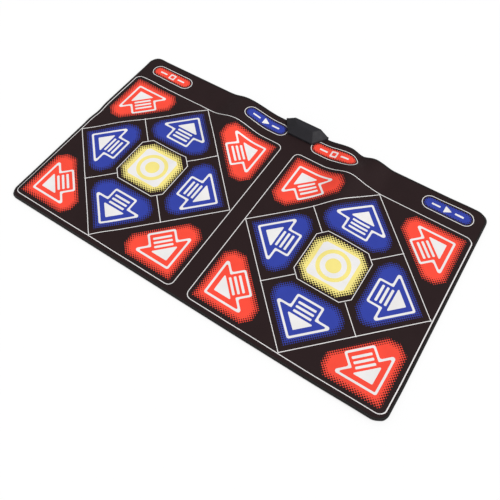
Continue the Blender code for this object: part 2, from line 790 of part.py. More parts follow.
def build_board():
    """The circuit board on its posts, with its chip, its cord header and the rubber bars below it."""
    half = BOARD_WIDTH / 2
    edge = rectangle(BOX_CENTRE_X - half, BOX_CENTRE_X + half, BOARD_FRONT, BOARD_FRONT + BOARD_DEPTH)
    radius = BOARD_SCREW_RADIUS + FIT_GAP
    circle = [
        (radius * math.cos(turn), radius * math.sin(turn))
        for turn in (math.tau * i / TURNED_STEPS for i in range(TURNED_STEPS))
    ]
    holes = [turned_about(circle, 0, x, y) for name, x, y in board_screw_places()]
    add_part(slab("circuit_board", [edge, *holes], BOARD_BOTTOM, BOARD_THICKNESS), "board_green")

    on_board = BOARD_TOP + FIT_GAP
    board_middle = BOARD_FRONT + BOARD_DEPTH / 2
    steps = [math.pi / 2 * i / DOME_STEPS for i in range(DOME_STEPS + 1)]
    dome = [(CHIP_RADIUS * math.sin(a), CHIP_HEIGHT * math.cos(a)) for a in steps]
    chip = turned("controller_chip", [*dome, (0, 0)], closed=False)
    chip.location = (BOX_CENTRE_X, board_middle, on_board)
    add_part(chip, "chip_epoxy")

    header_y = BOARD_FRONT + BOARD_DEPTH - HEADER_DEPTH
    place = (BOX_CENTRE_X + HEADER_OFFSET_X, header_y)
    header = box("cord_header", HEADER_WIDTH, HEADER_DEPTH, HEADER_HEIGHT, *place, on_board)
    pocket_width, pocket_depth = HEADER_WIDTH - 2 * HEADER_WALL, HEADER_DEPTH - 2 * HEADER_WALL
    pocket_bottom = on_board + 2 * HEADER_WALL
    pocket = box("header_pocket", pocket_width, pocket_depth, HEADER_HEIGHT, *place, pocket_bottom)
    boolean(header, add_cutter(pocket), "DIFFERENCE")
    add_part(header, "header_plastic")

    bar_bottom = BOX_FLOOR + FIT_GAP
    bar_y = BOARD_FRONT + TAIL_OVERLAP / 2
    for name, side in (("left", -1), ("right", 1)):
        x = BOX_CENTRE_X + side * TAIL_SPACING / 2
        height = LOWER_FILM_BOTTOM - FIT_GAP - bar_bottom
        bar = box(f"{name}_pressure_bar", TAIL_WIDTH, PRESSURE_BAR_DEPTH, height, x, bar_y, bar_bottom)
        add_part(bar, "bar_rubber")


def build_bush():
    """The bush that the cord would come through, snapped into the rear wall with a flange on each side."""
    outer_face = BOX_REAR - BOX_LIP_STEP + FIT_GAP
    inner_face = BOX_REAR - BOX_WALL - BOX_TOP_REAR_SETBACK - FIT_GAP
    groove = outer_face - inner_face
    end = groove + BUSH_FLANGE_THICKNESS
    profile = [
        (BUSH_FLANGE_RADIUS, end),
        (BUSH_FLANGE_RADIUS, groove),
        (BUSH_RADIUS, groove),
        (BUSH_RADIUS, 0),
        (BUSH_FLANGE_RADIUS, 0),
        (BUSH_FLANGE_RADIUS, -BUSH_FLANGE_THICKNESS),
        (BUSH_BORE_RADIUS, -BUSH_FLANGE_THICKNESS),
        (BUSH_BORE_RADIUS, end),
    ]
    bush = turned("cord_bush", profile, closed=True)
    bush.rotation_euler.x = -math.pi / 2
    bush.location = (BOX_CENTRE_X, inner_face, LIP_TOP + BUSH_RISE)
    add_part(bush, "bar_rubber")


def main():
    axes = {
        "left": fold_axis("left_fold_axis", -FOLD_X),
        "centre": None,
        "right": fold_axis("right_fold_axis", FOLD_X),
    }
    for panel, axis in axes.items():
        build_panel(panel, axis)
    for key in KEYS:
        build_key(key, axes)
    flap_binding("left_edge_binding", axes["left"], -1)
    flap_binding("right_edge_binding", axes["right"], 1)
    centre_bindings()
    clearances = [screw_clearance(*place) for place in boss_places()]
    build_upper_shell(clearances)
    build_lower_shell(clearances)
    for place in boss_places():
        case_screw(*place)
    build_board()
    for place in board_screw_places():
        board_screw(*place)
    build_bush()


main()
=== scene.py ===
"""The looks of a folding double dance mat: a printed cover over a thin foam core, with a woven edge
binding, gentle ridges left by its folds, and a moulded control box clamped on its rear edge.

Metres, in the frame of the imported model: X along the mat's long side, Y towards the control box, +Z up.
"""

import json
import math

import bmesh
import bpy
import numpy as np
from mathutils import Matrix, Vector
from mathutils.geometry import delaunay_2d_cdt


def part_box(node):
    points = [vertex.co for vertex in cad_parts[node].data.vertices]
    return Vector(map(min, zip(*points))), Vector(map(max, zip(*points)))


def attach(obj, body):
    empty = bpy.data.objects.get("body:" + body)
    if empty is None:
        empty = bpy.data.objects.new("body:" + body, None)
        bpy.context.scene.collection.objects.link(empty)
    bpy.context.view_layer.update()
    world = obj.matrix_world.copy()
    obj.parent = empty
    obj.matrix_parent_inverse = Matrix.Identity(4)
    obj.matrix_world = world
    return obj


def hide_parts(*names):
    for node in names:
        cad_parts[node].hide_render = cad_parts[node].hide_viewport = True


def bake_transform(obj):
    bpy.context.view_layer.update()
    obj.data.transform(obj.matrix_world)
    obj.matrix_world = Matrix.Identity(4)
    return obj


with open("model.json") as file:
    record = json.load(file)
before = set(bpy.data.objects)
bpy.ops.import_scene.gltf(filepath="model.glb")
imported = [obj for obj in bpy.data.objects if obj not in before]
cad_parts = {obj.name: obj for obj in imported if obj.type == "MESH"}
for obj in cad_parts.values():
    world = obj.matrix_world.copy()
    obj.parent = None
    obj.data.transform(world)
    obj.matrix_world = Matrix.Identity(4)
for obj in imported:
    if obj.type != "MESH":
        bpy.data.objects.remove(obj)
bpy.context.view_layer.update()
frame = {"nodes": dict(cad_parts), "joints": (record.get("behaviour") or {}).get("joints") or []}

# The mat's outline and layers, from the frame
BINDING_LOW, BINDING_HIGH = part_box("left_edge_binding")
MAT_LEFT, MAT_FRONT, MAT_REAR = BINDING_LOW.x, BINDING_LOW.y, BINDING_HIGH.y
MAT_TOP = BINDING_HIGH.z
MAT_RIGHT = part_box("right_edge_binding")[1].x
MAT_CORNER_RADIUS = 0.044
COVER_BOTTOM, COVER_TOP = (corner.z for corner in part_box("centre_top_cover"))
KEY_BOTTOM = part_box("left_pad_centre_key")[0].z
FOLD = next(joint["pos_m"] for joint in frame["joints"] if joint["name"] == "right_fold")
FOLD_X = FOLD[0]
CREASE_REACH = 0.008
SIDES = ((-1, "left"), (1, "right"))

# How finely sheets are cut into faces
COVER_STEP = 0.012
LAYER_STEPS = {"left": 0.018, "centre": 0.012, "right": 0.018}
CREASE_STEP = 0.001
LINE_STEP = 0.012
LEAST_STEP = 0.004
SPARE_STEP = 0.000001
WINDOW_GAP = 0.0002
TOLERANCE = 0.00001
MERGE_DISTANCE = 0.0000001
WELD_DISTANCE = 0.000001
SHEET_EDGE_DEG = 40

# Prints: sizes of lines and glyphs on each pad
PAD_LOW, PAD_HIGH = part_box("right_pad_centre_key")
PAD_X, PAD_Y = (PAD_LOW.x + PAD_HIGH.x) / 2, (PAD_LOW.y + PAD_HIGH.y) / 2
FRAME_WIDTH = 0.780
FRAME_DEPTH = 0.785
FRAME_RADIUS = 0.025
LINE_WIDTH = 0.0028
DIAMOND_INSET = LINE_WIDTH * 0.7
OCTAGON_WIDTH = 0.240
OCTAGON_DEPTH = 0.237
OCTAGON_CHAMFER = 0.034
CONNECTOR_REACH = 0.195
PATCH_MARGINS = {"red": 0.013, "blue": 0.0165, "yellow": 0.0175}
PATCH_RADIUS = 0.005
HALFTONE_DEPTH = 0.027
HALFTONE_CELLS = {"red": 0.0078, "blue": 0.0078, "yellow": 0.0088}
LONE_DOT_RADIUS = 0.36
MERGED_DOT_GROWTH = 0.24
DOT_SOFTNESS = 0.03
PATCH_INNER_LINE = 0.012
ARROW_WIDTH = 0.232
ARROW_LENGTH = 0.168
ARROW_STEM = 0.110
ARROW_RADIUS = 0.008
STROKE_WIDTH = 0.0082
STROKE_INNER_RADIUS = 0.004
HEAD_TIP = -0.038
HEAD_FOOT = -0.090
BARS_BEHIND_HEAD = (0.0090, 0.0275, 0.0460)
BAR_DEPTH = 0.0095
BAR_STEM_SHARE = 0.66
STRAIGHT_TIP = 0.330
CORNER_TIP = 0.342
PLATE_WIDTH = 0.156
PLATE_DEPTH = 0.152
PLATE_CHAMFER = 0.011
PLATE_RADIUS = 0.006
PLATE_CIRCLES = (("ink", 0.066), ("white", 0.050), ("ink", 0.030))
CIRCLE_STEPS = 40
PILL_LENGTH = 0.212
PILL_DEPTH = 0.068
PILL_BORDER = 0.0065
PILL_HALFTONE_SCALE = 2.2
PLAY_TRIANGLE = ((-0.013, -0.017), (0.017, 0), (-0.013, 0.017))
SQUARE_SIZE = 0.030
SQUARE_STROKE = 0.0065
SIDE_BAR_X = 0.048
SIDE_BAR_LENGTH = 0.036
SIDE_BAR_DEPTH = 0.008
MARK_RADIUS = 0.003
SMALL_MARK_RADIUS = 0.002
PILL_SHIFTS = {
    "left_pad_select_key": 0.0065,
    "left_pad_start_key": 0.0180,
    "right_pad_select_key": -0.0055,
    "right_pad_start_key": 0,
}
DIAMOND_SHIFTS = {"left_pad": 0.006, "right_pad": 0}
FRAME_SHIFTS = {"left_pad": 0.0025, "right_pad": 0}
CENTRE_SHIFTS = {"left_pad": (0, 0), "right_pad": (-0.0015, 0.0035)}


# Objects


def shown(name, data):
    """A new object in the scene."""
    obj = bpy.data.objects.new(name, data)
    bpy.context.scene.collection.objects.link(obj)
    return obj


def mesh_object(name, points, faces, materials=(), slots=()):
    """A new object from points and faces, with the number of each face's material."""
    mesh = bpy.data.meshes.new(name)
    mesh.from_pydata(points, [], faces)
    for material in materials:
        mesh.materials.append(material)
    if slots:
        mesh.polygons.foreach_set("material_index", slots)
    return shown(name, mesh)


def shade_smooth(piece, edge_deg):
    """Smooth shading, apart from edges that turn by more than the angle."""
    piece.data.shade_smooth()
    piece.data.set_sharp_from_angle(angle=math.radians(edge_deg))


# Outlines in plan: lists of (x, y), counterclockwise


def rectangle(left, right, front, rear):
    return [(left, front), (right, front), (right, rear), (left, rear)]


def block(width, depth):
    return rectangle(-width / 2, width / 2, -depth / 2, depth / 2)


def sides_of(outline):
    """The sides of an outline, or of a face, each as (start, end)."""
    return list(zip(outline, outline[1:] + outline[:1]))


def area_of(outline):
    return sum(a[0] * b[1] - a[1] * b[0] for a, b in sides_of(outline)) / 2


def placed(outline, angle, x, y):
    cosine, sine = math.cos(angle), math.sin(angle)
    return [(x + cosine * a - sine * b, y + sine * a + cosine * b) for a, b in outline]


def moved_out(outline, distance):
    """An outline with each side moved out by the distance, or in where it is negative."""
    sides = []
    for start, end in sides_of(outline):
        start, end = Vector(start), Vector(end)
        out = Vector((end.y - start.y, start.x - end.x)).normalized() * distance
        sides.append((start + out, end - start))
    points = []
    for (a, along), (b, other) in zip(sides[-1:] + sides[:-1], sides):
        share = (b - a).cross(other) / along.cross(other)
        points.append(tuple(a + along * share))
    return points


ARC_ROOM = 0.499


def rounded(outline, radius, steps=5):
    """An outline with an arc at each corner, smaller where the sides beside it are short."""
    points = []
    for i, corner in enumerate(outline):
        corner = Vector(corner)
        before = Vector(outline[i - 1]) - corner
        after = Vector(outline[(i + 1) % len(outline)]) - corner
        half_angle = before.angle(after) / 2
        room = ARC_ROOM * min(before.length, after.length)
        reach = min(radius / math.tan(half_angle), room)
        size = reach * math.tan(half_angle)
        before.normalize()
        after.normalize()
        middle = corner + (before + after).normalized() * (size / math.sin(half_angle))
        first = corner + before * reach - middle
        sweep = (math.pi - 2 * half_angle) * (1 if before.cross(after) < 0 else -1)
        for step in range(steps + 1):
            points.append(tuple(middle + Matrix.Rotation(sweep * step / steps, 2) @ first))
    return points


def stadium(length, depth, steps=12):
    """A rectangle with half circles for its ends."""
    points = []
    for side, first in ((1, -90), (-1, 90)):
        for i in range(steps + 1):
            turn = math.radians(first + 180 * i / steps)
            x = side * (length - depth) / 2 + depth / 2 * math.cos(turn)
            points.append((x, depth / 2 * math.sin(turn)))
    return points


def rim_of(faces):
    """The edges that only one of the faces has, each as (start, end) in the order of that face."""
    edges = {}
    for face in faces:
        for edge in sides_of(face):
            if edges.pop(edge[::-1], None) is None:
                edges[edge] = True
    return list(edges)


def outlines_of(node):
    """The outlines of a flat CAD node's upper face, the outer one first."""
    mesh = frame["nodes"][node].data
    top = max(vertex.co.z for vertex in mesh.vertices)
    upper = []
    for polygon in mesh.polygons:
        corners = [mesh.vertices[i].co for i in polygon.vertices]
        if min(corner.z for corner in corners) > top - TOLERANCE:
            upper.append([(round(corner.x, 6), round(corner.y, 6)) for corner in corners])
    following = dict(rim_of(upper))
    outlines = []
    while following:
        start, point = following.popitem()
        outline = [start]
        while point != start:
            outline.append(point)
            point = following.pop(point)
        outlines.append(outline)
    return sorted(outlines, key=lambda outline: -abs(area_of(outline)))


KEY_NODES = [name for name in frame["nodes"] if name.endswith("_key")]
KEY_OUTLINES = {name: outlines_of(name)[0] for name in KEY_NODES}


def middle_of(outline):
    xs, ys = zip(*outline)
    return (min(xs) + max(xs)) / 2, (min(ys) + max(ys)) / 2


# Ridges and ripples: how high the mat stands off the floor at each point


def smooth(share):
    share = np.clip(share, 0, 1)
    return share * share * (3 - 2 * share)


def bell(reach):
    """1 where the reach is nothing, and softly down to nothing where it is 1 or more."""
    return np.cos(np.clip(reach, 0, 1) * math.pi / 2) ** 2


# Ridges, which run on to the rear edge: the y where they rise, the y of their highest place, and pairs of
# values for that place and for the rear edge: middle, reach to the left, reach to the right and height
RIDGES = (
    (-0.015, 0.335, (-0.270, -0.287), (0.130, 0.105), (0.140, 0.172), (0.031, 0.023)),
    (-0.005, 0.335, (0.262, 0.222), (0.105, 0.112), (0.105, 0.062), (0.020, 0.017)),
    (-0.055, 0.335, (0.306, 0.336), (0.105, 0.062), (0.135, 0.092), (0.021, 0.019)),
)
RIDGE_SLOPE = 1.5

# Ripples: place, half length, half width, angle and height
RIPPLES = (
    ((-0.690, 0.065), 0.13, 0.06, 0.80, 0.0060),
    ((-0.490, 0.280), 0.10, 0.05, 0.80, 0.0050),
    ((-0.830, 0.025), 0.09, 0.07, 0.00, 0.0020),
    ((-0.400, -0.415), 0.12, 0.07, 0.00, 0.0045),
    ((-0.640, -0.225), 0.09, 0.05, 0.90, 0.0035),
    ((-0.330, 0.055), 0.10, 0.05, 1.20, 0.0040),
    ((0.740, 0.445), 0.12, 0.06, 0.20, 0.0035),
    ((0.330, -0.435), 0.14, 0.06, 0.00, 0.0025),
    ((0.390, 0.045), 0.19, 0.13, -0.30, 0.0110),
    ((-0.740, 0.345), 0.10, 0.07, 0.40, 0.0040),
    ((0.790, -0.430), 0.26, 0.16, 0.00, 0.0060),
)
FOLD_CALM = 0.030


def ridge_height(x, y, rise_from, top_y, *pairs):
    to_rear = smooth((y - top_y) / (MAT_REAR - top_y))
    middle, left, right, height = (top + (rear - top) * to_rear for top, rear in pairs)
    across = np.where(x < middle, (middle - x) / left, (x - middle) / right)
    return height * smooth((y - rise_from) / (top_y - rise_from)) ** RIDGE_SLOPE * bell(across)


def lift(x, y):
    """How high the whole mat is lifted, for arrays of x and y. It is nothing at the folds."""
    ripples = np.zeros_like(x)
    for (middle_x, middle_y), half_length, half_width, angle, height in RIPPLES:
        along = (x - middle_x) * math.cos(angle) + (y - middle_y) * math.sin(angle)
        across = (y - middle_y) * math.cos(angle) - (x - middle_x) * math.sin(angle)
        ripples += height * bell(np.hypot(along / half_length, across / half_width))
    ridges = sum(ridge_height(x, y, *ridge) for ridge in RIDGES)
    return ridges + ripples * smooth(np.abs(np.abs(x) - FOLD_X) / FOLD_CALM)


# The mat's margins are drawn out or in: places along each edge, and how far the edge reaches out there
EDGE_REACH = {
    "left": ((-0.35, 0.15), (-0.0045, 0.0017)),
    "right": ((-0.40, -0.30, 0.35), (0.0045, 0.0045, 0.0055)),
    "front": ((0.30, 0.50), (0.0, -0.0010)),
    "rear": ((-0.38, -0.30), (0.0050, 0.0)),
}
MARGIN = 0.023
BINDING_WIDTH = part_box("front_edge_binding")[1].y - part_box("front_edge_binding")[0].y

# Stretches of the rim that are drawn out or in with their prints: middle, reach and shift
DRAWN_PARTS = (
    ((0.800, -0.450), (0.32, 0.16), (-0.0030, 0.0028)),
    ((-0.810, 0.460), (0.07, 0.07), (-0.0027, 0.0027)),
    ((-0.815, 0.055), (0.09, 0.06), (0.0048, 0.0)),
)


def drawn(x, y):
    """The plan places x and y after the mat's rim is drawn out and in, as two columns."""
    edges = (("left", y, x - MAT_LEFT, (-1, 0)), ("right", y, MAT_RIGHT - x, (1, 0)))
    edges += (("front", x, y - MAT_FRONT, (0, -1)), ("rear", x, MAT_REAR - y, (0, 1)))
    shift = np.zeros((len(x), 2))
    for (middle_x, middle_y), (reach_x, reach_y), whole in DRAWN_PARTS:
        shift += np.outer(bell(np.hypot((x - middle_x) / reach_x, (y - middle_y) / reach_y)), whole)
    for edge, along, depth, outward in edges:
        reach = np.interp(along, *EDGE_REACH[edge]) * smooth((MARGIN - depth) / (MARGIN - BINDING_WIDTH))
        shift += np.outer(reach, outward)
    return np.column_stack([x, y]) + shift


# Sheets: outlines laid over each other, cut into triangles that follow the ridges


def split_sides(outline, step):
    """An outline with points added so that no side is longer than the step."""
    points = []
    for (ax, ay), (bx, by) in sides_of(outline):
        count = max(1, math.ceil(math.hypot(bx - ax, by - ay) / step - SPARE_STEP))
        for i in range(count):
            points.append((ax + (bx - ax) * i / count, ay + (by - ay) * i / count))
    return points


def distance_to(points, outline):
    """The distance of each point from the nearest side of an outline."""
    start = np.array(outline, float)
    side = np.roll(start, -1, 0) - start
    away = points[:, None] - start
    share = np.clip((away * side).sum(2) / (side * side).sum(1), 0, 1)
    return np.hypot(*np.moveaxis(away - share[..., None] * side, 2, 0)).min(1)


def within(points, outline):
    """Which of the points lie inside an outline, by how many of its sides lie to their right."""
    x, y = points.T
    inside = np.zeros(len(points), bool)
    for (ax, ay), (bx, by) in sides_of(outline):
        if ay != by:
            crossed = (ay > y) != (by > y)
            inside ^= crossed & (x < ax + (y - ay) * (bx - ax) / (by - ay))
    return inside


def near_to(points, outline, margin):
    """The numbers of the points in an outline's bounding box, made larger by the margin."""
    low, high = np.min(outline, 0) - margin, np.max(outline, 0) + margin
    return np.flatnonzero(((points >= low) & (points <= high)).all(1))


class Layout:
    """Named outlines in the order in which they cover each other, cut into shared triangles."""

    def __init__(self):
        self.labels = []
        self.outlines = []

    def add(self, label, outline, step=LINE_STEP):
        outline = split_sides(outline, step)
        self.outlines.append(outline if area_of(outline) > 0 else outline[::-1])
        self.labels.append(label)

    def cut(self, free_points):
        """Sets the points in plan, the triangles, and for each triangle its owner and its ink."""
        points = [point for outline in self.outlines for point in outline]
        sides, first = [], 0
        for outline in self.outlines:
            count = len(outline)
            sides += [(first + i, first + (i + 1) % count) for i in range(count)]
            first += count
        far = np.ones(len(free_points), bool)
        for outline in self.outlines:
            near = near_to(free_points, outline, LEAST_STEP)
            near = near[far[near]]
            if len(near):
                far[near] = distance_to(free_points[near], outline) > LEAST_STEP
        points = [Vector(point) for point in points + free_points[far].tolist()]
        found = delaunay_2d_cdt(points, sides, [], 0, MERGE_DISTANCE, False)
        self.points = np.array(found[0], float)
        self.triangles = np.array(found[2])
        middles = self.points[self.triangles].mean(1)
        self.owner = np.full(len(middles), "", dtype=object)
        self.ink = np.full(len(middles), "black", dtype=object)
        for label, outline in zip(self.labels, self.outlines):
            near = near_to(middles, outline, 0)
            covered = near[within(middles[near], outline)]
            if label in INKS:
                self.ink[covered] = label
            else:
                self.owner[covered] = label


def grid_points(outline, step_x, step_y):
    """Staggered rows of points over an outline, at the same places for every sheet of the same steps."""
    xs, ys = zip(*outline)
    columns = np.arange(math.ceil(min(xs) / step_x), math.floor(max(xs) / step_x) + 1)
    rows = np.arange(math.ceil(min(ys) / step_y), math.floor(max(ys) / step_y) + 1)
    places = np.stack(np.meshgrid(columns * step_x, rows), -1).reshape(-1, 2)
    places[:, 0] += np.where(places[:, 1] % 2 == 1, step_x / 4, -step_x / 4)
    places[:, 1] *= step_y
    return places


def sheet_mesh(name, points, triangles, materials, slots, bottom, top, depths=None):
    """A sheet of even height that follows the ridges: upper faces, lower faces, and walls round them."""
    used, corners = np.unique(triangles, return_inverse=True)
    corners = corners.reshape(-1, 3)
    plan = points[used]
    height = lift(plan[:, 0], plan[:, 1])
    plan = drawn(plan[:, 0], plan[:, 1])
    count = len(used)
    upper = np.column_stack([plan, height + top])
    lower = np.column_stack([plan, height + bottom])
    faces = corners.tolist()
    below = [[count + c, count + b, count + a] for a, b, c in faces]
    walls = [[b, a, count + a, count + b] for a, b in rim_of(faces)]
    places = np.concatenate([upper, lower]).tolist()
    slots = list(slots) + [len(materials) - 1] * (len(below) + len(walls))
    piece = mesh_object(name, places, faces + below + walls, materials, slots)
    shade_smooth(piece, SHEET_EDGE_DEG)
    if depths is not None:
        attribute = piece.data.attributes.new("print_depth", "FLOAT", "POINT")
        attribute.data.foreach_set("value", np.tile(depths[used], 2).astype(np.float32))
    return piece


# Materials


def linear(value):
    """The linear value of an 8-bit sRGB channel."""
    share = value / 255
    return share / 12.92 if share <= 0.04045 else ((share + 0.055) / 1.055) ** 2.4


def colour_of(channels, share=1):
    """The linear colour of 8-bit channels, made darker or lighter by the share."""
    return (*(linear(channel * share) for channel in channels), 1)


BLACK_INK = (40, 27, 28)
WHITE_INK = (236, 234, 233)
RED_INK = (250, 78, 60)
BLUE_INK = (52, 67, 164)
YELLOW_INK = (245, 229, 136)
BINDING = (30, 28, 28)
THREAD = (46, 43, 43)
BASE = (34, 33, 33)
FOAM = (96, 94, 92)
FILM = (196, 200, 205)
BOX_GREY = (39, 38, 42)
BOARD = (28, 92, 58)
SILVER = (150, 152, 156)
EPOXY = (16, 16, 18)
NYLON = (228, 224, 214)
RUBBER = (40, 40, 42)
STEEL = (176, 178, 182)

COLOUR_SPREAD = 0.15
KNOB_SPACING = 0.007
KNOB_EDGE = (0.20, 0.30)
TRACK_SPACING = 0.016
TRACK_SHARE = 0.12
BOARD_TRACK_SPACING = 0.0032
BOARD_TRACK_EDGE = (0.16, 0.20)
GRAIN_PER_METRE = 520
TAPE_RIBS_PER_METRE = 900
TWISTS_PER_METRE = 1600
FOAM_CELLS_PER_METRE = 900
CELL_WALL = (0, 0.25)


class Finish:
    """A material round one Principled BSDF, with short ways to add nodes and join them."""

    def __init__(self, name, roughness, **sockets):
        self.material = bpy.data.materials.new(name)
        self.material.use_nodes = True
        self.tree = self.material.node_tree
        self.shader = self.tree.nodes["Principled BSDF"]
        self.join(roughness, self.shader.inputs["Roughness"])
        for socket, value in sockets.items():
            self.shader.inputs[socket.replace("_", " ")].default_value = value
        self.place = self.node("ShaderNodeTexCoord").outputs["Object"]

    def node(self, kind, inputs=(), **settings):
        """A new node with its settings, and with a value or a link for each input, by name or number."""
        made = self.tree.nodes.new(kind)
        for setting, value in settings.items():
            setattr(made, setting, value)
        for socket, value in dict(inputs).items():
            self.join(value, made.inputs[socket])
        return made

    def join(self, value, socket):
        if isinstance(value, bpy.types.NodeSocket):
            self.tree.links.new(value, socket)
        else:
            socket.default_value = value

    def math(self, operation, *values):
        return self.node("ShaderNodeMath", enumerate(values), operation=operation).outputs[0]

    def dot(self, *vectors):
        made = self.node("ShaderNodeVectorMath", enumerate(vectors), operation="DOT_PRODUCT")
        return made.outputs["Value"]

    def waves(self, place, per_metre):
        return self.math("SINE", self.math("MULTIPLY", place, math.tau * per_metre))

    def noise(self, per_metre, detail=2):
        inputs = {"Scale": per_metre, "Detail": detail, "Vector": self.place}
        return self.node("ShaderNodeTexNoise", inputs).outputs[0]

    def range(self, value, from_low, from_high, to_low, to_high):
        inputs = enumerate((value, from_low, from_high, to_low, to_high))
        return self.node("ShaderNodeMapRange", inputs).outputs[0]

    def mixed(self, share, first, second):
        made = self.node("ShaderNodeMix", data_type="RGBA")
        colours = [socket for socket in made.inputs if socket.type == "RGBA"]
        for value, socket in zip((share, first, second), (made.inputs[0], *colours)):
            self.join(value, socket)
        return next(socket for socket in made.outputs if socket.type == "RGBA")

    def patches(self, per_metre, spread, low, high):
        """Soft patches between two values. A smaller spread makes them more distinct."""
        return self.range(self.noise(per_metre, 3), 0.5 - spread, 0.5 + spread, low, high)

    def varied(self, colour, per_metre, amount):
        """A colour that is a little lighter and darker in soft patches."""
        shades = [(*(min(1, c * (1 + change)) for c in colour[:3]), 1) for change in (-amount, amount)]
        return self.mixed(self.patches(per_metre, COLOUR_SPREAD, 0, 1), *shades)

    def colour(self, value):
        self.join(value, self.shader.inputs["Base Color"])

    def roughness(self, middle, amount, per_metre, spread):
        """A roughness that varies by the amount, in soft patches."""
        value = self.patches(per_metre, spread, middle - amount, middle + amount)
        self.join(value, self.shader.inputs["Roughness"])

    def bump(self, height, distance, strength=1):
        inputs = {"Height": height, "Distance": distance, "Strength": strength}
        self.join(self.node("ShaderNodeBump", inputs).outputs[0], self.shader.inputs["Normal"])


def weave(finish, u, v, per_metre):
    """Threads that pass over and under each other, as a height from 0 to 1."""
    threads = finish.math("MULTIPLY", finish.waves(u, per_metre), finish.waves(v, per_metre))
    return finish.range(threads, -1, 1, 0, 1)


def away_from_dots(finish, spacing):
    """The distance from the nearest of a field of staggered dots, as a share of their slanting pitch."""
    step, squares = 1 / spacing, []
    for direction in ((step, step, 0), (step, -step, 0)):
        share = finish.math("FRACT", finish.dot(finish.place, direction))
        offset = finish.math("SUBTRACT", share, 0.5)
        squares.append(finish.math("MULTIPLY", offset, offset))
    return finish.math("SQRT", finish.math("ADD", *squares))


def halftone(finish, colour, cell):
    """The colour broken up by staggered black dots, which grow towards the outline of its patch."""
    away = away_from_dots(finish, cell * math.sqrt(2))
    depth = finish.node("ShaderNodeAttribute", attribute_name="print_depth").outputs["Fac"]
    share = finish.range(depth, 0, HALFTONE_DEPTH, 0, 1)
    lone = finish.math("SUBTRACT", 1, finish.math("POWER", share, 4))
    merged = finish.math("POWER", finish.math("SUBTRACT", 1, share), 3)
    parts = zip((lone, merged), (LONE_DOT_RADIUS, MERGED_DOT_GROWTH))
    size = finish.math("ADD", *[finish.math("MULTIPLY", part, radius) for part, radius in parts])
    dot = finish.range(finish.math("SUBTRACT", size, away), -DOT_SOFTNESS, DOT_SOFTNESS, 0, 1)
    return finish.mixed(dot, colour, colour_of(BLACK_INK))


def cover_finish(name, ink, roughness, cell=0):
    """Printed soft vinyl: a fine woven grain pressed into it, and an ink that varies a little."""
    finish = Finish(name, 0.5, Specular_IOR_Level=0.10)
    u, v = finish.dot(finish.place, (1, 0, 0)), finish.dot(finish.place, (0, 1, 0))
    grain = finish.math("MULTIPLY", weave(finish, u, v, GRAIN_PER_METRE), finish.noise(900))
    colour = finish.varied(colour_of(ink), per_metre=14, amount=0.035)
    if cell:
        colour = halftone(finish, colour, cell)
    finish.colour(colour)
    finish.roughness(roughness, amount=0.05, per_metre=30, spread=0.2)
    finish.bump(finish.math("ADD", grain, finish.noise(160, 4)), distance=0.00025, strength=0.55)
    return finish.material


def binding_finish():
    """A woven tape: diagonal ribs along its length with painted shade in the grooves between them, and a
    little fuzz.
    """
    finish = Finish("binding_tape", roughness=0.85, Specular_IOR_Level=0.2, Sheen_Weight=0.15)
    tape = finish.node("ShaderNodeUVMap", uv_map="tape").outputs[0]
    ribs = [finish.waves(finish.dot(tape, (1, lean, 0)), TAPE_RIBS_PER_METRE) for lean in (1, -1)]
    height = finish.range(finish.math("MAXIMUM", *ribs), -1, 1, 0, 1)
    # The grooves between the ribs are painted darker than the ribs: painted shade.
    finish.colour(finish.mixed(height, colour_of(BINDING, share=0.72), colour_of(BINDING)))
    finish.bump(finish.math("ADD", height, finish.noise(1800)), distance=0.0003, strength=0.8)
    return finish.material


def thread_finish():
    finish = Finish("stitch_thread", roughness=0.7, Specular_IOR_Level=0.3, Sheen_Weight=0.2)
    twist = finish.waves(finish.dot(finish.place, (1, 1, 0.5)), TWISTS_PER_METRE)
    finish.colour(finish.varied(colour_of(THREAD), per_metre=600, amount=0.15))
    finish.bump(twist, distance=0.0001, strength=0.6)
    return finish.material


def base_finish():
    """The underside: a rubbery sheet with small raised dots in staggered rows."""
    finish = Finish("anti_slip_base", roughness=0.8, Specular_IOR_Level=0.25)
    knob = finish.range(away_from_dots(finish, KNOB_SPACING), *KNOB_EDGE, 1, 0)
    worn = finish.math("MULTIPLY", knob, finish.noise(40))
    finish.colour(finish.mixed(worn, colour_of(BASE), colour_of(BASE, share=1.35)))
    grain = finish.math("MULTIPLY", finish.noise(1400, 3), 0.3)
    finish.bump(finish.math("ADD", knob, grain), distance=0.0005)
    return finish.material


def foam_finish():
    finish = Finish("soft_foam", roughness=0.95, Specular_IOR_Level=0.15)
    inputs = {"Scale": FOAM_CELLS_PER_METRE, "Vector": finish.place}
    cells = finish.node("ShaderNodeTexVoronoi", inputs, feature="DISTANCE_TO_EDGE")
    open_cell = finish.range(cells.outputs["Distance"], *CELL_WALL, 1, 0)
    # The pores are painted darker than the cell walls: painted shade inside the cells.
    finish.colour(finish.mixed(open_cell, colour_of(FOAM, share=0.6), colour_of(FOAM)))
    finish.bump(open_cell, distance=0.0004)
    return finish.material


def film_finish():
    """A clear grey polyester film with printed silver tracks across it."""
    finish = Finish("circuit_film", roughness=0.35, Specular_IOR_Level=0.5)
    track = finish.math("FRACT", finish.dot(finish.place, (0, 1 / TRACK_SPACING, 0)))
    on_track = finish.math("LESS_THAN", track, TRACK_SHARE)
    film = finish.varied(colour_of(FILM), per_metre=20, amount=0.03)
    finish.colour(finish.mixed(on_track, film, colour_of(SILVER)))
    finish.bump(finish.noise(60), distance=0.0003, strength=0.3)
    return finish.material


def plastic_finish(name, colour, roughness, grain_size=0.0005, depth=0.00006, specular=0.4):
    """Moulded plastic with a fine sparked texture, and faint wear where it is handled."""
    finish = Finish(name, roughness, Specular_IOR_Level=specular)
    finish.colour(finish.varied(colour_of(colour), per_metre=60, amount=0.05))
    finish.roughness(roughness, amount=0.06, per_metre=45, spread=0.15)
    finish.bump(finish.noise(1 / grain_size, 3), depth, strength=0.8)
    return finish.material


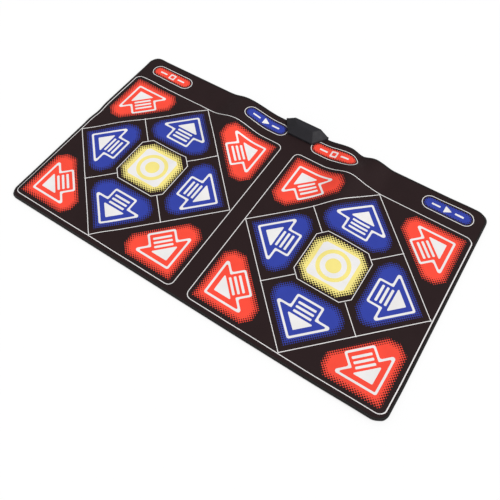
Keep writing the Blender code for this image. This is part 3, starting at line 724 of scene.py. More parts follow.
def board_finish():
    """Green lacquer over raised tracks that run across the board."""
    finish = Finish("circuit_board_lacquer", roughness=0.4, Specular_IOR_Level=0.5)
    step = 1 / BOARD_TRACK_SPACING
    track = finish.math("FRACT", finish.dot(finish.place, (step, step / 4, 0)))
    aside = finish.math("ABSOLUTE", finish.math("SUBTRACT", track, 0.5))
    raised = finish.range(aside, *BOARD_TRACK_EDGE, 1, 0)
    finish.colour(finish.mixed(raised, colour_of(BOARD), colour_of(BOARD, share=1.35)))
    finish.bump(raised, distance=0.00005)
    return finish.material


def steel_finish():
    finish = Finish("zinc_plated_steel", roughness=0.35, Metallic=1.0)
    finish.colour(finish.varied(colour_of(STEEL), per_metre=500, amount=0.08))
    finish.bump(finish.noise(1500, 3), distance=0.00003, strength=0.6)
    return finish.material


BLACK = cover_finish("print_black", BLACK_INK, 0.62)
WHITE = cover_finish("print_white", WHITE_INK, 0.55)
RED = cover_finish("print_red", RED_INK, 0.55, HALFTONE_CELLS["red"])
BLUE = cover_finish("print_blue", BLUE_INK, 0.55, HALFTONE_CELLS["blue"])
YELLOW = cover_finish("print_yellow", YELLOW_INK, 0.55, HALFTONE_CELLS["yellow"])
INKS = {"white": WHITE, "red": RED, "blue": BLUE, "yellow": YELLOW, "black": BLACK}
TAPE = binding_finish()
STITCHES = thread_finish()
BASE_SHEET = base_finish()
SOFT_FOAM = foam_finish()
CIRCUIT_FILM = film_finish()
BOX_PLASTIC = plastic_finish("box_plastic", BOX_GREY, 0.52, specular=0.18)
STEEL_PLATE = steel_finish()
RUBBER_BUSH = plastic_finish("bush_rubber", RUBBER, 0.8, 0.0008, 0.00004)


# The printed cover. Each pad has its frame, a diamond, an octagon round the centre key, a patch with a
# broken-up border under each key's glyph, and two long keys at the rear.


def ring(layout, outline):
    """A white line of even width just inside an outline, with black inside it."""
    layout.add("white", outline)
    layout.add("black", moved_out(outline, -LINE_WIDTH))


def chamfered(width, depth, chamfer):
    """A rectangle round the origin, with its corners cut off."""
    right, rear = width / 2, depth / 2
    x, y = right - chamfer, rear - chamfer
    half = [(-x, -rear), (x, -rear), (right, -y), (right, y)]
    return half + [(-a, -b) for a, b in half]


def arrow_glyph():
    """A block arrow towards +Y with its tip at the origin: an outline round a solid head and bars."""
    side, stem, foot = ARROW_WIDTH / 2, ARROW_STEM / 2, -ARROW_LENGTH
    outline = [(-stem, foot), (stem, foot), (stem, -side), (side, -side)]
    outline += [(0, 0), (-side, -side), (-stem, -side)]
    inner = rounded(moved_out(outline, -STROKE_WIDTH), STROKE_INNER_RADIUS, steps=3)
    head_reach, bar_reach = HEAD_TIP - HEAD_FOOT, stem * BAR_STEM_SHARE
    head = [(-head_reach, HEAD_FOOT), (head_reach, HEAD_FOOT), (0, HEAD_TIP)]
    shapes = [("white", rounded(outline, ARROW_RADIUS, steps=4)), ("ink", inner)]
    shapes.append(("white", rounded(head, MARK_RADIUS, steps=3)))
    for behind in BARS_BEHIND_HEAD:
        rear = HEAD_FOOT - behind
        bar = rectangle(-bar_reach, bar_reach, rear - BAR_DEPTH, rear)
        shapes.append(("white", rounded(bar, MARK_RADIUS, steps=2)))
    return shapes


def centre_glyph():
    """A white plate with cut corners, that holds a ring and a disc."""
    plate = chamfered(PLATE_WIDTH, PLATE_DEPTH, PLATE_CHAMFER)
    shapes = [("white", rounded(plate, PLATE_RADIUS, steps=2))]
    turns = np.arange(CIRCLE_STEPS) * math.tau / CIRCLE_STEPS
    for ink, radius in PLATE_CIRCLES:
        shapes.append((ink, [(radius * math.cos(turn), radius * math.sin(turn)) for turn in turns]))
    return shapes


def pill_glyph(name):
    """A bar each side of a triangle, or of a hollow square."""
    if "start" in name:
        shapes = [("white", rounded(PLAY_TRIANGLE, SMALL_MARK_RADIUS, steps=3))]
    else:
        square = block(SQUARE_SIZE, SQUARE_SIZE)
        hollow = rounded(moved_out(square, -SQUARE_STROKE), SMALL_MARK_RADIUS, steps=3)
        shapes = [("white", rounded(square, MARK_RADIUS, steps=3)), ("ink", hollow)]
    for x in (-SIDE_BAR_X, SIDE_BAR_X):
        bar = placed(block(SIDE_BAR_LENGTH, SIDE_BAR_DEPTH), 0, x, 0)
        shapes.append(("white", rounded(bar, SMALL_MARK_RADIUS, steps=3)))
    return shapes


def is_pill(name):
    return name.endswith(("select_key", "start_key"))


def is_corner(name):
    return name.endswith(("left_key", "right_key")) and name.count("_") == 4


def ink_of(name):
    if "centre" in name:
        return "yellow"
    return "red" if is_corner(name) or "select" in name else "blue"


ARROW_KEYS = ("up", "up_left", "left", "down_left", "down", "down_right", "right", "up_right")
ARROW_TURNS = {name: math.radians(45 * i) for i, name in enumerate(ARROW_KEYS)}


def pill_border(name):
    """The white line round one of the two long keys, which runs on under the control box."""
    x, y = middle_of(KEY_OUTLINES[name])
    return placed(stadium(PILL_LENGTH, PILL_DEPTH), 0, x + PILL_SHIFTS[name], y)


def patch_outline(name):
    """The outline of the coloured patch on a key and round it."""
    if is_pill(name):
        return moved_out(pill_border(name), -PILL_BORDER)
    outline = rounded(moved_out(KEY_OUTLINES[name], PATCH_MARGINS[ink_of(name)]), PATCH_RADIUS)
    if "centre" in name:
        return placed(outline, 0, *CENTRE_SHIFTS[name.split("_centre")[0]])
    return outline


def print_pad(layout, side):
    """The frame, the diamond and the octagon of one pad, then its keys."""
    pad = "right_pad" if side > 0 else "left_pad"
    x, y = side * PAD_X, PAD_Y
    half_width, half_depth = FRAME_WIDTH / 2, FRAME_DEPTH / 2
    right = x + half_width + FRAME_SHIFTS[pad]
    ring(layout, rounded(rectangle(x - half_width, right, y - half_depth, y + half_depth), FRAME_RADIUS))
    rear_corner = (x + DIAMOND_SHIFTS[pad], y + half_depth)
    diamond = [(x, y - half_depth), (x + half_width, y), rear_corner, (x - half_width, y)]
    ring(layout, moved_out(diamond, -DIAMOND_INSET))
    corner_x = (OCTAGON_WIDTH - OCTAGON_CHAMFER) / 2
    corner_y = (OCTAGON_DEPTH - OCTAGON_CHAMFER) / 2
    for to_right in (-1, 1):
        for to_rear in (-1, 1):
            start = Vector((to_right * corner_x, to_rear * corner_y))
            end = Vector((to_right * CONNECTOR_REACH, to_rear * CONNECTOR_REACH))
            aside = (end - start).orthogonal().normalized() * LINE_WIDTH / 2
            line = [start - aside, start + aside, end + aside, end - aside]
            layout.add("white", [(x + point.x, y + point.y) for point in line])
    octagon = chamfered(OCTAGON_WIDTH, OCTAGON_DEPTH, OCTAGON_CHAMFER)
    aside, back = CENTRE_SHIFTS[pad]
    ring(layout, placed(octagon, 0, x + aside, y + back))
    for name in KEY_NODES:
        if name.startswith(pad):
            print_key(layout, name)


def print_key(layout, name):
    ink = ink_of(name)
    outline = patch_outline(name)
    turn, place = 0, middle_of(outline)
    if is_pill(name):
        ring(layout, pill_border(name))
        glyph = pill_glyph(name)
    elif "centre" in name:
        glyph = centre_glyph()
    else:
        turn = ARROW_TURNS[name.split("_pad_")[1].removesuffix("_key")]
        reach = CORNER_TIP * math.sqrt(2) if is_corner(name) else STRAIGHT_TIP
        pad_x = math.copysign(PAD_X, place[0])
        place = (pad_x - reach * math.sin(turn), PAD_Y + reach * math.cos(turn))
        glyph = arrow_glyph()
    layout.add(ink, outline)
    layout.add(ink, moved_out(outline, -PATCH_INNER_LINE))
    for glyph_ink, shape in glyph:
        layout.add(ink if glyph_ink == "ink" else glyph_ink, placed(shape, turn, *place))


def panel_outline(node):
    """A layer's outline, stopped at the crease that bends with the fold."""
    moved = []
    for x, y in outlines_of(node)[0]:
        if abs(abs(x) - FOLD_X) < CREASE_REACH / 2:
            side = -1 if node.startswith("centre") else 1
            x = math.copysign(FOLD_X + side * CREASE_REACH, x)
        moved.append((x, y))
    return moved


def crease_outline(side, node):
    low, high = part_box(node)
    x = side * FOLD_X
    return rectangle(x - CREASE_REACH, x + CREASE_REACH, low.y, high.y)


def make_cover():
    """Cuts the whole cover once, and shares its triangles out to panels, creases and keys."""
    layout = Layout()
    panels = {f"{panel}_printed_cover": panel_outline(f"{panel}_top_cover") for panel in LAYER_STEPS}
    creases = {f"{word}_cover_crease": crease_outline(side, "centre_top_cover") for side, word in SIDES}
    zones = {**panels, **creases}
    for name, outline in zones.items():
        layout.add(name, outline)
    for side in (-1, 1):
        print_pad(layout, side)
    for name in KEY_NODES:
        layout.add("gap", moved_out(KEY_OUTLINES[name], WINDOW_GAP))
        layout.add(name, KEY_OUTLINES[name])

    grids = [grid_points(sum(zones.values(), []), COVER_STEP, COVER_STEP)]
    grids += [grid_points(outline, CREASE_STEP, COVER_STEP) for outline in creases.values()]
    layout.cut(np.concatenate(grids))

    depths = np.ones(len(layout.points))
    for name in KEY_NODES:
        outline = patch_outline(name)
        near = near_to(layout.points, outline, TOLERANCE)
        scale = PILL_HALFTONE_SCALE if is_pill(name) else 1
        depths[near] = np.minimum(depths[near], distance_to(layout.points[near], outline) * scale)
    made = {}
    for owner in [*zones, *KEY_NODES]:
        own = layout.owner == owner
        inks = layout.ink[own]
        used = [ink for ink in INKS if ink == "black" or ink in inks]
        is_key = owner in KEY_NODES
        made[owner] = sheet_mesh(
            owner.replace("_key", "_key_print"),
            layout.points,
            layout.triangles[own],
            [INKS[ink] for ink in used],
            [used.index(ink) for ink in inks],
            KEY_BOTTOM if is_key else COVER_BOTTOM,
            COVER_TOP,
            depths,
        )
    return made


def stand_for(piece, body, node):
    """The piece rides on the body and is shown in place of the CAD node."""
    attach(piece, body)
    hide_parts(node)


def bend_with_fold(piece):
    """The piece is a crease: its transform is baked into its mesh."""
    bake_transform(piece)


def body_of_panel(panel):
    return "centre_panel" if panel == "centre" else f"{panel}_flap"


COVER = make_cover()
for owner, piece in COVER.items():
    panel = owner.split("_")[0]
    if owner in KEY_NODES:
        stand_for(piece, owner.removesuffix("_key"), owner)
    elif owner.endswith("_crease"):
        bend_with_fold(piece)
    else:
        stand_for(piece, body_of_panel(panel), f"{panel}_top_cover")


# The layers under the cover, each cut as the frame has it, with its windows


def plain_sheet(name, node, outlines, material, steps):
    """A layer of one material, as high as its CAD node, from its outline and those of its windows."""
    layout = Layout()
    for i, outline in enumerate(outlines):
        layout.add("gap" if i else "sheet", outline, max(steps))
    layout.cut(grid_points(outlines[0], *steps))
    triangles = layout.triangles[layout.owner == "sheet"]
    low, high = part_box(node)
    return sheet_mesh(name, layout.points, triangles, [material], [0] * len(triangles), low.z, high.z)


UNDER = {"lower_film": "base_foam", "upper_film": "spacer_foam"}
LAYERS = ("base_foam", "lower_film", "spacer_foam", "upper_film")
for panel, step in LAYER_STEPS.items():
    for layer in LAYERS:
        node = f"{panel}_{layer}"
        material, slot = (CIRCUIT_FILM, "circuit_film") if layer in UNDER else (SOFT_FOAM, "foam")
        piece = plain_sheet(f"{node}_layer", node, outlines_of(node), material, (step, step))
        stand_for(piece, body_of_panel(panel), node)
    node = f"{panel}_base_sheet"
    outlines = [panel_outline(node), *outlines_of(node)[1:]]
    piece = plain_sheet(f"{panel}_underside", node, outlines, BASE_SHEET, (step, step))
    stand_for(piece, body_of_panel(panel), node)
for side, word in SIDES:
    outline = crease_outline(side, "centre_base_sheet")
    name, steps = f"{word}_underside_crease", (CREASE_STEP, COVER_STEP)
    piece = plain_sheet(name, "centre_base_sheet", [outline], BASE_SHEET, steps)
    bend_with_fold(piece)


# Edge binding: a tape folded round the edge, sewn along both of its lips

TAPE_THICKNESS = 0.0008
TAPE_END_ROUND = 0.0002
EDGE_ROUNDNESS = 0.0042
EDGE_SQUARENESS = 0.7
STITCH_INSET = 0.0058
STITCH_LENGTH = 0.0034
STITCH_PITCH = 0.0047
STITCH_WIDTH = 0.0008
STITCH_RISE = 0.00028
STITCH_FLAT = 0.6
STITCH_END = 0.5
STITCH_FLOOR_GAP = 0.00002
SLANT_REACH = 0.03
PATH_STEP = 0.008
CORNER_STEPS = 10
TAPE_EDGE_DEG = 50


def tape_section(steps=9):
    """The tape's section as (distance in from the mat's edge, height), once round."""
    half = MAT_TOP / 2
    outer, inner = [], []
    for i in range(steps + 1):
        turn = math.pi / 2 - math.pi * i / steps
        bulge = max(0.0, math.cos(turn)) ** EDGE_SQUARENESS
        rise = math.copysign(abs(math.sin(turn)) ** EDGE_SQUARENESS, turn)
        outer.append((EDGE_ROUNDNESS * (1 - bulge), half + half * rise))
        inset = EDGE_ROUNDNESS - (EDGE_ROUNDNESS - TAPE_THICKNESS) * bulge
        inner.append((inset, half + (half - TAPE_THICKNESS) * rise))
    end = BINDING_WIDTH
    upper = [(end, MAT_TOP - TAPE_THICKNESS), (end, MAT_TOP - TAPE_END_ROUND)]
    upper.append((end - 3 * TAPE_END_ROUND, MAT_TOP))
    lower = [(inset, MAT_TOP - height) for inset, height in reversed(upper)]
    return upper + outer + lower + inner[::-1]


def edge_path():
    """Two laps of the mat's edge, as rows of (length, x, y, outward x, outward y).

    The first lap starts at the front edge, where the front left corner ends.
    """
    radius = MAT_CORNER_RADIUS
    lap = []
    for x, y, first in (
        (MAT_RIGHT - radius, MAT_FRONT + radius, -90),
        (MAT_RIGHT - radius, MAT_REAR - radius, 0),
        (MAT_LEFT + radius, MAT_REAR - radius, 90),
        (MAT_LEFT + radius, MAT_FRONT + radius, 180),
    ):
        for i in range(CORNER_STEPS + 1):
            turn = math.radians(first + 90 * i / CORNER_STEPS)
            out = (math.cos(turn), math.sin(turn))
            lap.append((x + radius * out[0], y + radius * out[1], *out))
    path = np.array(lap[-1:] + lap + lap)
    steps = np.hypot(*np.diff(path[:, :2], axis=0).T)
    return np.column_stack([np.concatenate([[0], np.cumsum(steps)]), path])


EDGE = edge_path()
LAP = EDGE[len(EDGE) // 2, 0]
REAR_START = EDGE[2 * CORNER_STEPS + 2, 0]


def front_length(x):
    return x - (MAT_LEFT + MAT_CORNER_RADIUS)


def rear_length(x):
    return REAR_START + (MAT_RIGHT - MAT_CORNER_RADIUS) - x


def places_between(start, end, step):
    count = max(1, round((end - start) / step))
    at = np.linspace(start, end, count + 1)
    return np.column_stack([at, *(np.interp(at, EDGE[:, 0], column) for column in EDGE.T[1:])])


def tube_walls(rows, count):
    """The faces between rows of points, which each go once round with the same count."""
    faces = []
    for first in range(0, (rows - 1) * count, count):
        for j in range(count):
            k = (j + 1) % count
            faces.append([first + j, first + k, first + count + k, first + count + j])
    return faces


def tape_faces(start, end, step, slant):
    """The section carried along the edge with closed ends, as points, faces and places on the flat tape.

    The slants, at the start and at the end, are how far that end leans for each metre in from the edge.
    """
    places = places_between(start, end, step)
    section = tape_section()
    count = len(section)
    girth = [0.0]
    for a, b in sides_of(section):
        girth.append(girth[-1] + math.hypot(b[0] - a[0], b[1] - a[1]))
    points = []
    for at, x, y, out_x, out_y in places:
        size = math.hypot(out_x, out_y)
        first_lean = slant[0] * max(0, 1 - (at - start) / SLANT_REACH)
        lean = first_lean + slant[1] * max(0, 1 - (end - at) / SLANT_REACH)
        for inset, height in section:
            points.append((x - out_x / size * inset + lean * inset, y - out_y / size * inset, height))
    maps = []
    for u, next_u in zip(places[:-1, 0], places[1:, 0]):
        for v, next_v in zip(girth, girth[1:]):
            maps += [(u, v), (u, next_v), (next_u, next_v), (next_u, v)]
    last = (len(places) - 1) * count
    ends = [list(reversed(range(count))), [last + j for j in range(count)]]
    maps += [(0, v) for v in girth[:-1]] * 2
    return points, tube_walls(len(places), count) + ends, maps


def stitch_faces(start, end):
    """Short raised stitches along both lips of the tape, between two lengths of the edge."""
    count = int((end - start) / STITCH_PITCH)
    margin = (end - start - (count - 1) * STITCH_PITCH) / 2
    sections = ((-1, STITCH_END), (-STITCH_FLAT, 1), (STITCH_FLAT, 1), (1, STITCH_END))
    sides = [[3, 2, 1, 0], [12, 13, 14, 15], *tube_walls(len(sections), 4)]
    points, faces = [], []
    for _, x, y, out_x, out_y in places_between(start + margin, end - margin, STITCH_PITCH):
        out = Vector((out_x, out_y)).normalized()
        along = Vector((-out.y, out.x)) * (STITCH_LENGTH / 2)
        across = out * (STITCH_WIDTH / 2)
        middle = Vector((x, y)) - out * STITCH_INSET
        for height, up in ((MAT_TOP, 1), (STITCH_FLOOR_GAP, -1)):
            first = len(points)
            for share, size in sections:
                corners = ((-1, -STITCH_END), (-STITCH_FLAT, size), (STITCH_FLAT, size), (1, -STITCH_END))
                for aside, level in corners:
                    point = middle + along * share + across * (aside * size)
                    rise = level if up > 0 else 1 - level
                    points.append((point.x, point.y, height + rise * STITCH_RISE))
            faces += [[first + corner for corner in side[::up]] for side in sides]
    return points, faces


def make_tape(name, start, end, step=PATH_STEP, slant=(0, 0)):
    """A stretch of the tape with its stitches, between two lengths of the edge."""
    points, faces, maps = tape_faces(start, end, step, slant)
    stitch_points, stitches = stitch_faces(start, end)
    count = len(points)
    points = np.array(points + stitch_points)
    points[:, 2] += lift(points[:, 0], points[:, 1])
    points[:, :2] = drawn(points[:, 0], points[:, 1])
    stitches = [[count + corner for corner in face] for face in stitches]
    slots = [0] * len(faces) + [1] * len(stitches)
    piece = mesh_object(name, points.tolist(), faces + stitches, (TAPE, STITCHES), slots)
    maps += [(0, 0)] * (4 * len(stitches))
    piece.data.uv_layers.new(name="tape").uv.foreach_set("vector", np.array(maps, np.float32).ravel())
    shade_smooth(piece, TAPE_EDGE_DEG)
    return piece


# Control box

BOX_LOW, BOX_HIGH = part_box("upper_box_shell")
LOWER_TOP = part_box("lower_box_shell")[1].z
BOX_X = (BOX_LOW.x + BOX_HIGH.x) / 2
BOX_FRONT, BOX_REAR = BOX_LOW.y, BOX_HIGH.y
BOX_FRONT_WIDTH = 0.119
BOX_REAR_WIDTH = 0.215
BOX_TOP_FRONT_WIDTH = 0.077
BOX_TOP_REAR_WIDTH = 0.134
BOX_TOP_FRONT_SETBACK = 0.039
BOX_TOP_REAR_SETBACK = 0.0008
BOX_LIP_HEIGHT = 0.0103
BOX_LIP_STEP = 0.0012
BOX_CORNER_RADIUS = 0.004
BOX_TOP_RADIUS = 0.003
BOX_TOP_ROUND = 0.0016
BOX_WALL = 0.0022
BOX_FLOOR = 0.002
TRAY_REAR_WALL = BOX_WALL * 1.5
BOX_CLEARANCE = 0.0005
BOX_CORNER_STEPS = 8
SEAM_ROUND = 0.0004
BOSS_RADIUS = 0.0045
SCREW_HOLE_RADIUS = 0.00175
RECESS_RADIUS = 0.0031
RECESS_TOP = 0.0026
SCREW_TOP = BOX_LOW.z + 0.0113
POST_RADIUS = 0.0027
POST_GAP = 0.0003
POST_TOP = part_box("circuit_board")[0].z - POST_GAP
POST_HOLE_RADIUS = 0.0014
OPENING_RADIUS = 0.0039
OPENING_REACH = 0.006
CUT_PAST = 0.01
TURNED_STEPS = 32
SCREW_STEPS = 24
BUSH_STEPS = 48
PART_EDGE_DEG = 35

# How the box's edges are rounded: (up, in) at its lip and at the tray's foot, and (down, in) at its top,
# in shares of BOX_TOP_ROUND. FACE_SHARES says how far up the outlines between lip and top lie
LIP_ROUND = ((-0.0008, 0), (-0.0002, 0.0003), (0, 0.0009), (0.0001, BOX_LIP_STEP))
FACE_SHARES = (0.02, 0.3, 0.6, 0.88)
TOP_ROUND = ((0.35, 0.12), (0.12, 0.45), (0.02, 0.8), (0, 1.15))
TRAY_ROUND = ((0, 0.0008), (0.0002, 0.0003), (0.0008, 0))
MAT_SPACE_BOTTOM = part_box("centre_base_foam")[1].z
BOX_SLANT = (BOX_REAR_WIDTH - BOX_FRONT_WIDTH) / 2 / (BOX_REAR - BOX_FRONT)


def trapezoid(front_width, rear_width, front, rear, inset, radius):
    sides = ((-front_width, front), (front_width, front), (rear_width, rear), (-rear_width, rear))
    outline = moved_out([(BOX_X + width / 2, y) for width, y in sides], -inset)
    return rounded(outline, radius, BOX_CORNER_STEPS)


def lip_outline(inset):
    return trapezoid(BOX_FRONT_WIDTH, BOX_REAR_WIDTH, BOX_FRONT, BOX_REAR, inset, BOX_CORNER_RADIUS)


def top_outline(inset):
    front, rear = BOX_FRONT + BOX_TOP_FRONT_SETBACK, BOX_REAR - BOX_TOP_REAR_SETBACK
    return trapezoid(BOX_TOP_FRONT_WIDTH, BOX_TOP_REAR_WIDTH, front, rear, inset, BOX_TOP_RADIUS)


def between(share, first, second):
    return [(a + (c - a) * share, b + (d - b) * share) for (a, b), (c, d) in zip(first, second)]


def box_side_x(side, y):
    """Where the side of the control box is at this y, with the clearance that the mat keeps to it."""
    return BOX_X + side * (BOX_FRONT_WIDTH / 2 + (y - BOX_FRONT) * BOX_SLANT + BOX_CLEARANCE)


def loft(name, rings):
    """A closed solid through outlines of equal counts, given as (height, outline) from the bottom up."""
    count = len(rings[0][1])
    points = [(x, y, z) for z, outline in rings for x, y in outline]
    crown = [len(points) - count + j for j in range(count)]
    faces = [list(reversed(range(count))), *tube_walls(len(rings), count), crown]
    return mesh_object(name, points, faces)


def turned(name, place, profile, steps=TURNED_STEPS):
    """A solid turned about an upright axis from a closed counterclockwise profile of (radius, height)."""
    form = bmesh.new()
    rows = []
    for i in range(steps):
        turn = math.tau * i / steps
        rows.append([form.verts.new((r * math.cos(turn), r * math.sin(turn), z)) for r, z in profile])
    for i in range(steps):
        row, following = rows[i], rows[(i + 1) % steps]
        for j in range(len(profile)):
            k = (j + 1) % len(profile)
            form.faces.new((row[j], following[j], following[k], row[k]))
    bmesh.ops.remove_doubles(form, verts=form.verts, dist=WELD_DISTANCE)
    bmesh.ops.dissolve_degenerate(form, dist=MERGE_DISTANCE, edges=form.edges)
    mesh = bpy.data.meshes.new(name)
    form.to_mesh(mesh)
    form.free()
    solid = shown(name, mesh)
    solid.location = (place.x, place.y, 0)
    return solid


def cylinder(name, place, bottom, top, radius):
    return turned(name, place, [(0, bottom), (radius, bottom), (radius, top), (0, top)])


def carve(obj, cuts):
    """Cuts or joins the (operation, object) pairs into the object, and leaves only its final mesh."""
    for operation, other in cuts:
        step = obj.modifiers.new(other.name, "BOOLEAN")
        step.operation, step.object, step.solver = operation, other, "EXACT"
    bpy.context.view_layer.update()
    final = obj.evaluated_get(bpy.context.evaluated_depsgraph_get())
    mesh = bpy.data.meshes.new_from_object(final)
    obj.modifiers.clear()
    obj.data = mesh
    for _, other in cuts:
        bpy.data.objects.remove(other, do_unlink=True)


def finish_part(obj, material, node):
    """Gives a part of the control box its finish, and puts it in place of its CAD node."""
    obj.data.materials.clear()
    obj.data.materials.append(material)
    shade_smooth(obj, PART_EDGE_DEG)
    stand_for(obj, "centre_panel", node)


def middle_of_node(node):
    low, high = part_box(node)
    return (low + high) / 2


CASE_SCREWS = [f"{end}_{side}_case_screw" for end in ("front", "rear") for side in ("left", "right")]
BOARD_SCREWS = ["left_board_screw", "right_board_screw"]


def screw_clearance(node):
    """What a case screw takes out of both shells: a recess for its head and a hole for its shank."""
    profile = [
        (0, -CUT_PAST),
        (RECESS_RADIUS, -CUT_PAST),
        (RECESS_RADIUS, RECESS_TOP),
        (SCREW_HOLE_RADIUS, RECESS_TOP),
        (SCREW_HOLE_RADIUS, SCREW_TOP),
        (0, SCREW_TOP),
    ]
    return turned(f"{node}_clearance", middle_of_node(node), profile)


def make_upper_shell():
    """The cover of the box: an upright lip, sloping faces and a flat top, all with rounded edges."""
    lip_top, top = BOX_LOW.z + BOX_LIP_HEIGHT, BOX_HIGH.z
    foot, crown = lip_outline(BOX_LIP_STEP), top_outline(0)
    rise = top - lip_top
    rings = [(BOX_LOW.z, lip_outline(SEAM_ROUND)), (BOX_LOW.z + SEAM_ROUND, lip_outline(0))]
    rings += [(lip_top + up, lip_outline(inset)) for up, inset in LIP_ROUND]
    rings += [(lip_top + rise * share, between(share, foot, crown)) for share in FACE_SHARES]
    for down, inward in TOP_ROUND:
        level = between(1 - down * BOX_TOP_ROUND / rise, foot, crown)
        inset = between(min(1, inward), level, top_outline(BOX_TOP_ROUND * inward))
        rings.append((top - down * BOX_TOP_ROUND, inset))
    shell = loft("box_cover", rings)
    hollow = loft(
        "hollow",
        [
            (BOX_LOW.z - CUT_PAST, lip_outline(BOX_WALL)),
            (lip_top - BOX_WALL / 2, lip_outline(BOX_WALL + BOX_LIP_STEP)),
            (top - BOX_WALL, top_outline(BOX_WALL)),
        ],
    )
    bosses = []
    for node in CASE_SCREWS:
        place, bottom = middle_of_node(node), BOX_LOW.z - 2 * CUT_PAST
        bosses.append(("DIFFERENCE", cylinder(f"{node}_boss", place, bottom, top, BOSS_RADIUS)))
    carve(hollow, bosses)
    bush = middle_of_node("cord_bush")
    opening = cylinder("opening", bush, -OPENING_REACH, OPENING_REACH, OPENING_RADIUS)
    opening.rotation_euler.x = math.pi / 2
    opening.location = (bush.x, BOX_REAR, bush.z)
    cuts = [("DIFFERENCE", hollow), ("DIFFERENCE", opening)]
    carve(shell, cuts + [("DIFFERENCE", screw_clearance(node)) for node in CASE_SCREWS])
    finish_part(shell, BOX_PLASTIC, "upper_box_shell")


def make_lower_shell():
    """The tray under the mat, with its bosses and the two posts of the board."""
    rings = [(up, lip_outline(inset)) for up, inset in TRAY_ROUND]
    rings += [(LOWER_TOP - SEAM_ROUND, lip_outline(0)), (LOWER_TOP, lip_outline(SEAM_ROUND))]
    shell = loft("box_tray", rings)
    sides = (BOX_LOW.x - CUT_PAST, BOX_HIGH.x + CUT_PAST)
    space = rectangle(*sides, BOX_FRONT - CUT_PAST, BOX_REAR - TRAY_REAR_WALL)
    inner = lip_outline(BOX_WALL)
    cuts = [
        ("DIFFERENCE", loft("mat_space", [(MAT_SPACE_BOTTOM, space), (BOX_HIGH.z, space)])),
        ("DIFFERENCE", loft("tray", [(BOX_FLOOR, inner), (BOX_HIGH.z, inner)])),
    ]
    for node in CASE_SCREWS:
        boss = cylinder(f"{node}_boss", middle_of_node(node), BOX_FLOOR / 2, LOWER_TOP, BOSS_RADIUS)
        cuts.append(("UNION", boss))
    for node in BOARD_SCREWS:
        post = cylinder(f"{node}_post", middle_of_node(node), BOX_FLOOR / 2, POST_TOP, POST_RADIUS)
        cuts.append(("UNION", post))
    cuts += [("DIFFERENCE", screw_clearance(node)) for node in CASE_SCREWS]
    for node in BOARD_SCREWS:
        place, bottom = middle_of_node(node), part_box(node)[0].z - POST_GAP
        hole = cylinder(f"{node}_hole", place, bottom, BOX_HIGH.z, POST_HOLE_RADIUS)
        cuts.append(("DIFFERENCE", hole))
    carve(shell, cuts)
    finish_part(shell, BOX_PLASTIC, "lower_box_shell")


# Case screws and bush
HEAD_HEIGHT = 0.0019
HEAD_ROUND = ((0, 0), (0.7, 0), (0.93, 0.0003), (1, 0.0008))
SHANK_RADIUS = 0.00145
THREAD_TURNS = 12
THREAD_ROOT = SHANK_RADIUS * 0.8
THREAD_REACH = 0.00025
CROSS_LENGTH = 0.0026
CROSS_WIDTH = 0.0006
CROSS_DEPTH = 0.0011
BUSH_BORE = 0.0023
BUSH_NECK = 0.0036
BUSH_FLANGE = 0.0014
BUSH_ROUND = 0.0004


def make_case_screw(node):
    """A pan-headed screw from below, with a cross recess in its head."""
    low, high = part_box(node)
    head = (high.x - low.x) / 2
    head_top, tip = low.z + HEAD_HEIGHT, high.z - SHANK_RADIUS
    profile = [(head * share, low.z + up) for share, up in HEAD_ROUND]
    profile += [(head, head_top), (SHANK_RADIUS, head_top)]
    for i in range(THREAD_TURNS):
        z = head_top + (tip - head_top) * (i + 0.5) / THREAD_TURNS
        profile += [(THREAD_ROOT, z - THREAD_REACH), (SHANK_RADIUS, z), (THREAD_ROOT, z + THREAD_REACH)]
    profile += [(THREAD_ROOT, tip), (0, high.z)]
    screw = turned(node.replace("_screw", "_screw_body"), middle_of_node(node), profile, SCREW_STEPS)
    cuts = []
    slots = {"along": block(CROSS_LENGTH, CROSS_WIDTH), "across": block(CROSS_WIDTH, CROSS_LENGTH)}
    for word, slot in slots.items():
        cross = loft(f"cross_{word}", [(low.z - CUT_PAST, slot), (low.z + CROSS_DEPTH, slot)])
        cross.location = screw.location
        cuts.append(("DIFFERENCE", cross))
    carve(screw, cuts)
    finish_part(screw, STEEL_PLATE, node)


def make_bush():
    """The bush in the rear wall, with a rounded flange on each side of the wall."""
    low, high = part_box("cord_bush")
    flange, length = (high.x - low.x) / 2, high.y - low.y
    near = [(flange - BUSH_ROUND, 0), (flange, BUSH_ROUND), (flange, BUSH_FLANGE - BUSH_ROUND)]
    near += [(flange - BUSH_ROUND, BUSH_FLANGE), (BUSH_NECK, BUSH_FLANGE)]
    far = [(radius, length - up) for radius, up in reversed(near)]
    bore = [(BUSH_BORE + BUSH_ROUND, length), (BUSH_BORE, length - BUSH_ROUND)]
    place = middle_of_node("cord_bush")
    bush = turned("cord_inlet_bush", place, [(BUSH_BORE, 0), *near, *far, *bore], BUSH_STEPS)
    bush.rotation_euler.x = -math.pi / 2
    bush.location = (place.x, low.y, place.z)
    finish_part(bush, RUBBER_BUSH, "cord_bush")


make_upper_shell()
make_lower_shell()
for node in CASE_SCREWS:
    make_case_screw(node)
make_bush()

INSIDE = {
    "circuit_board": board_finish(),
    "controller_chip": plastic_finish("chip_epoxy", EPOXY, 0.3, 0.002, 0.00003),
    "cord_header": plastic_finish("header_nylon", NYLON, 0.5),
    "left_pressure_bar": RUBBER_BUSH,
    "right_pressure_bar": RUBBER_BUSH,
    "left_board_screw": STEEL_PLATE,
    "right_board_screw": STEEL_PLATE,
}
for node, material in INSIDE.items():
    obj = frame["nodes"][node]
    for slot in obj.material_slots:
        slot.material = material


# The tape is laid out in nine stretches, which meet at the folds and stop at the control box

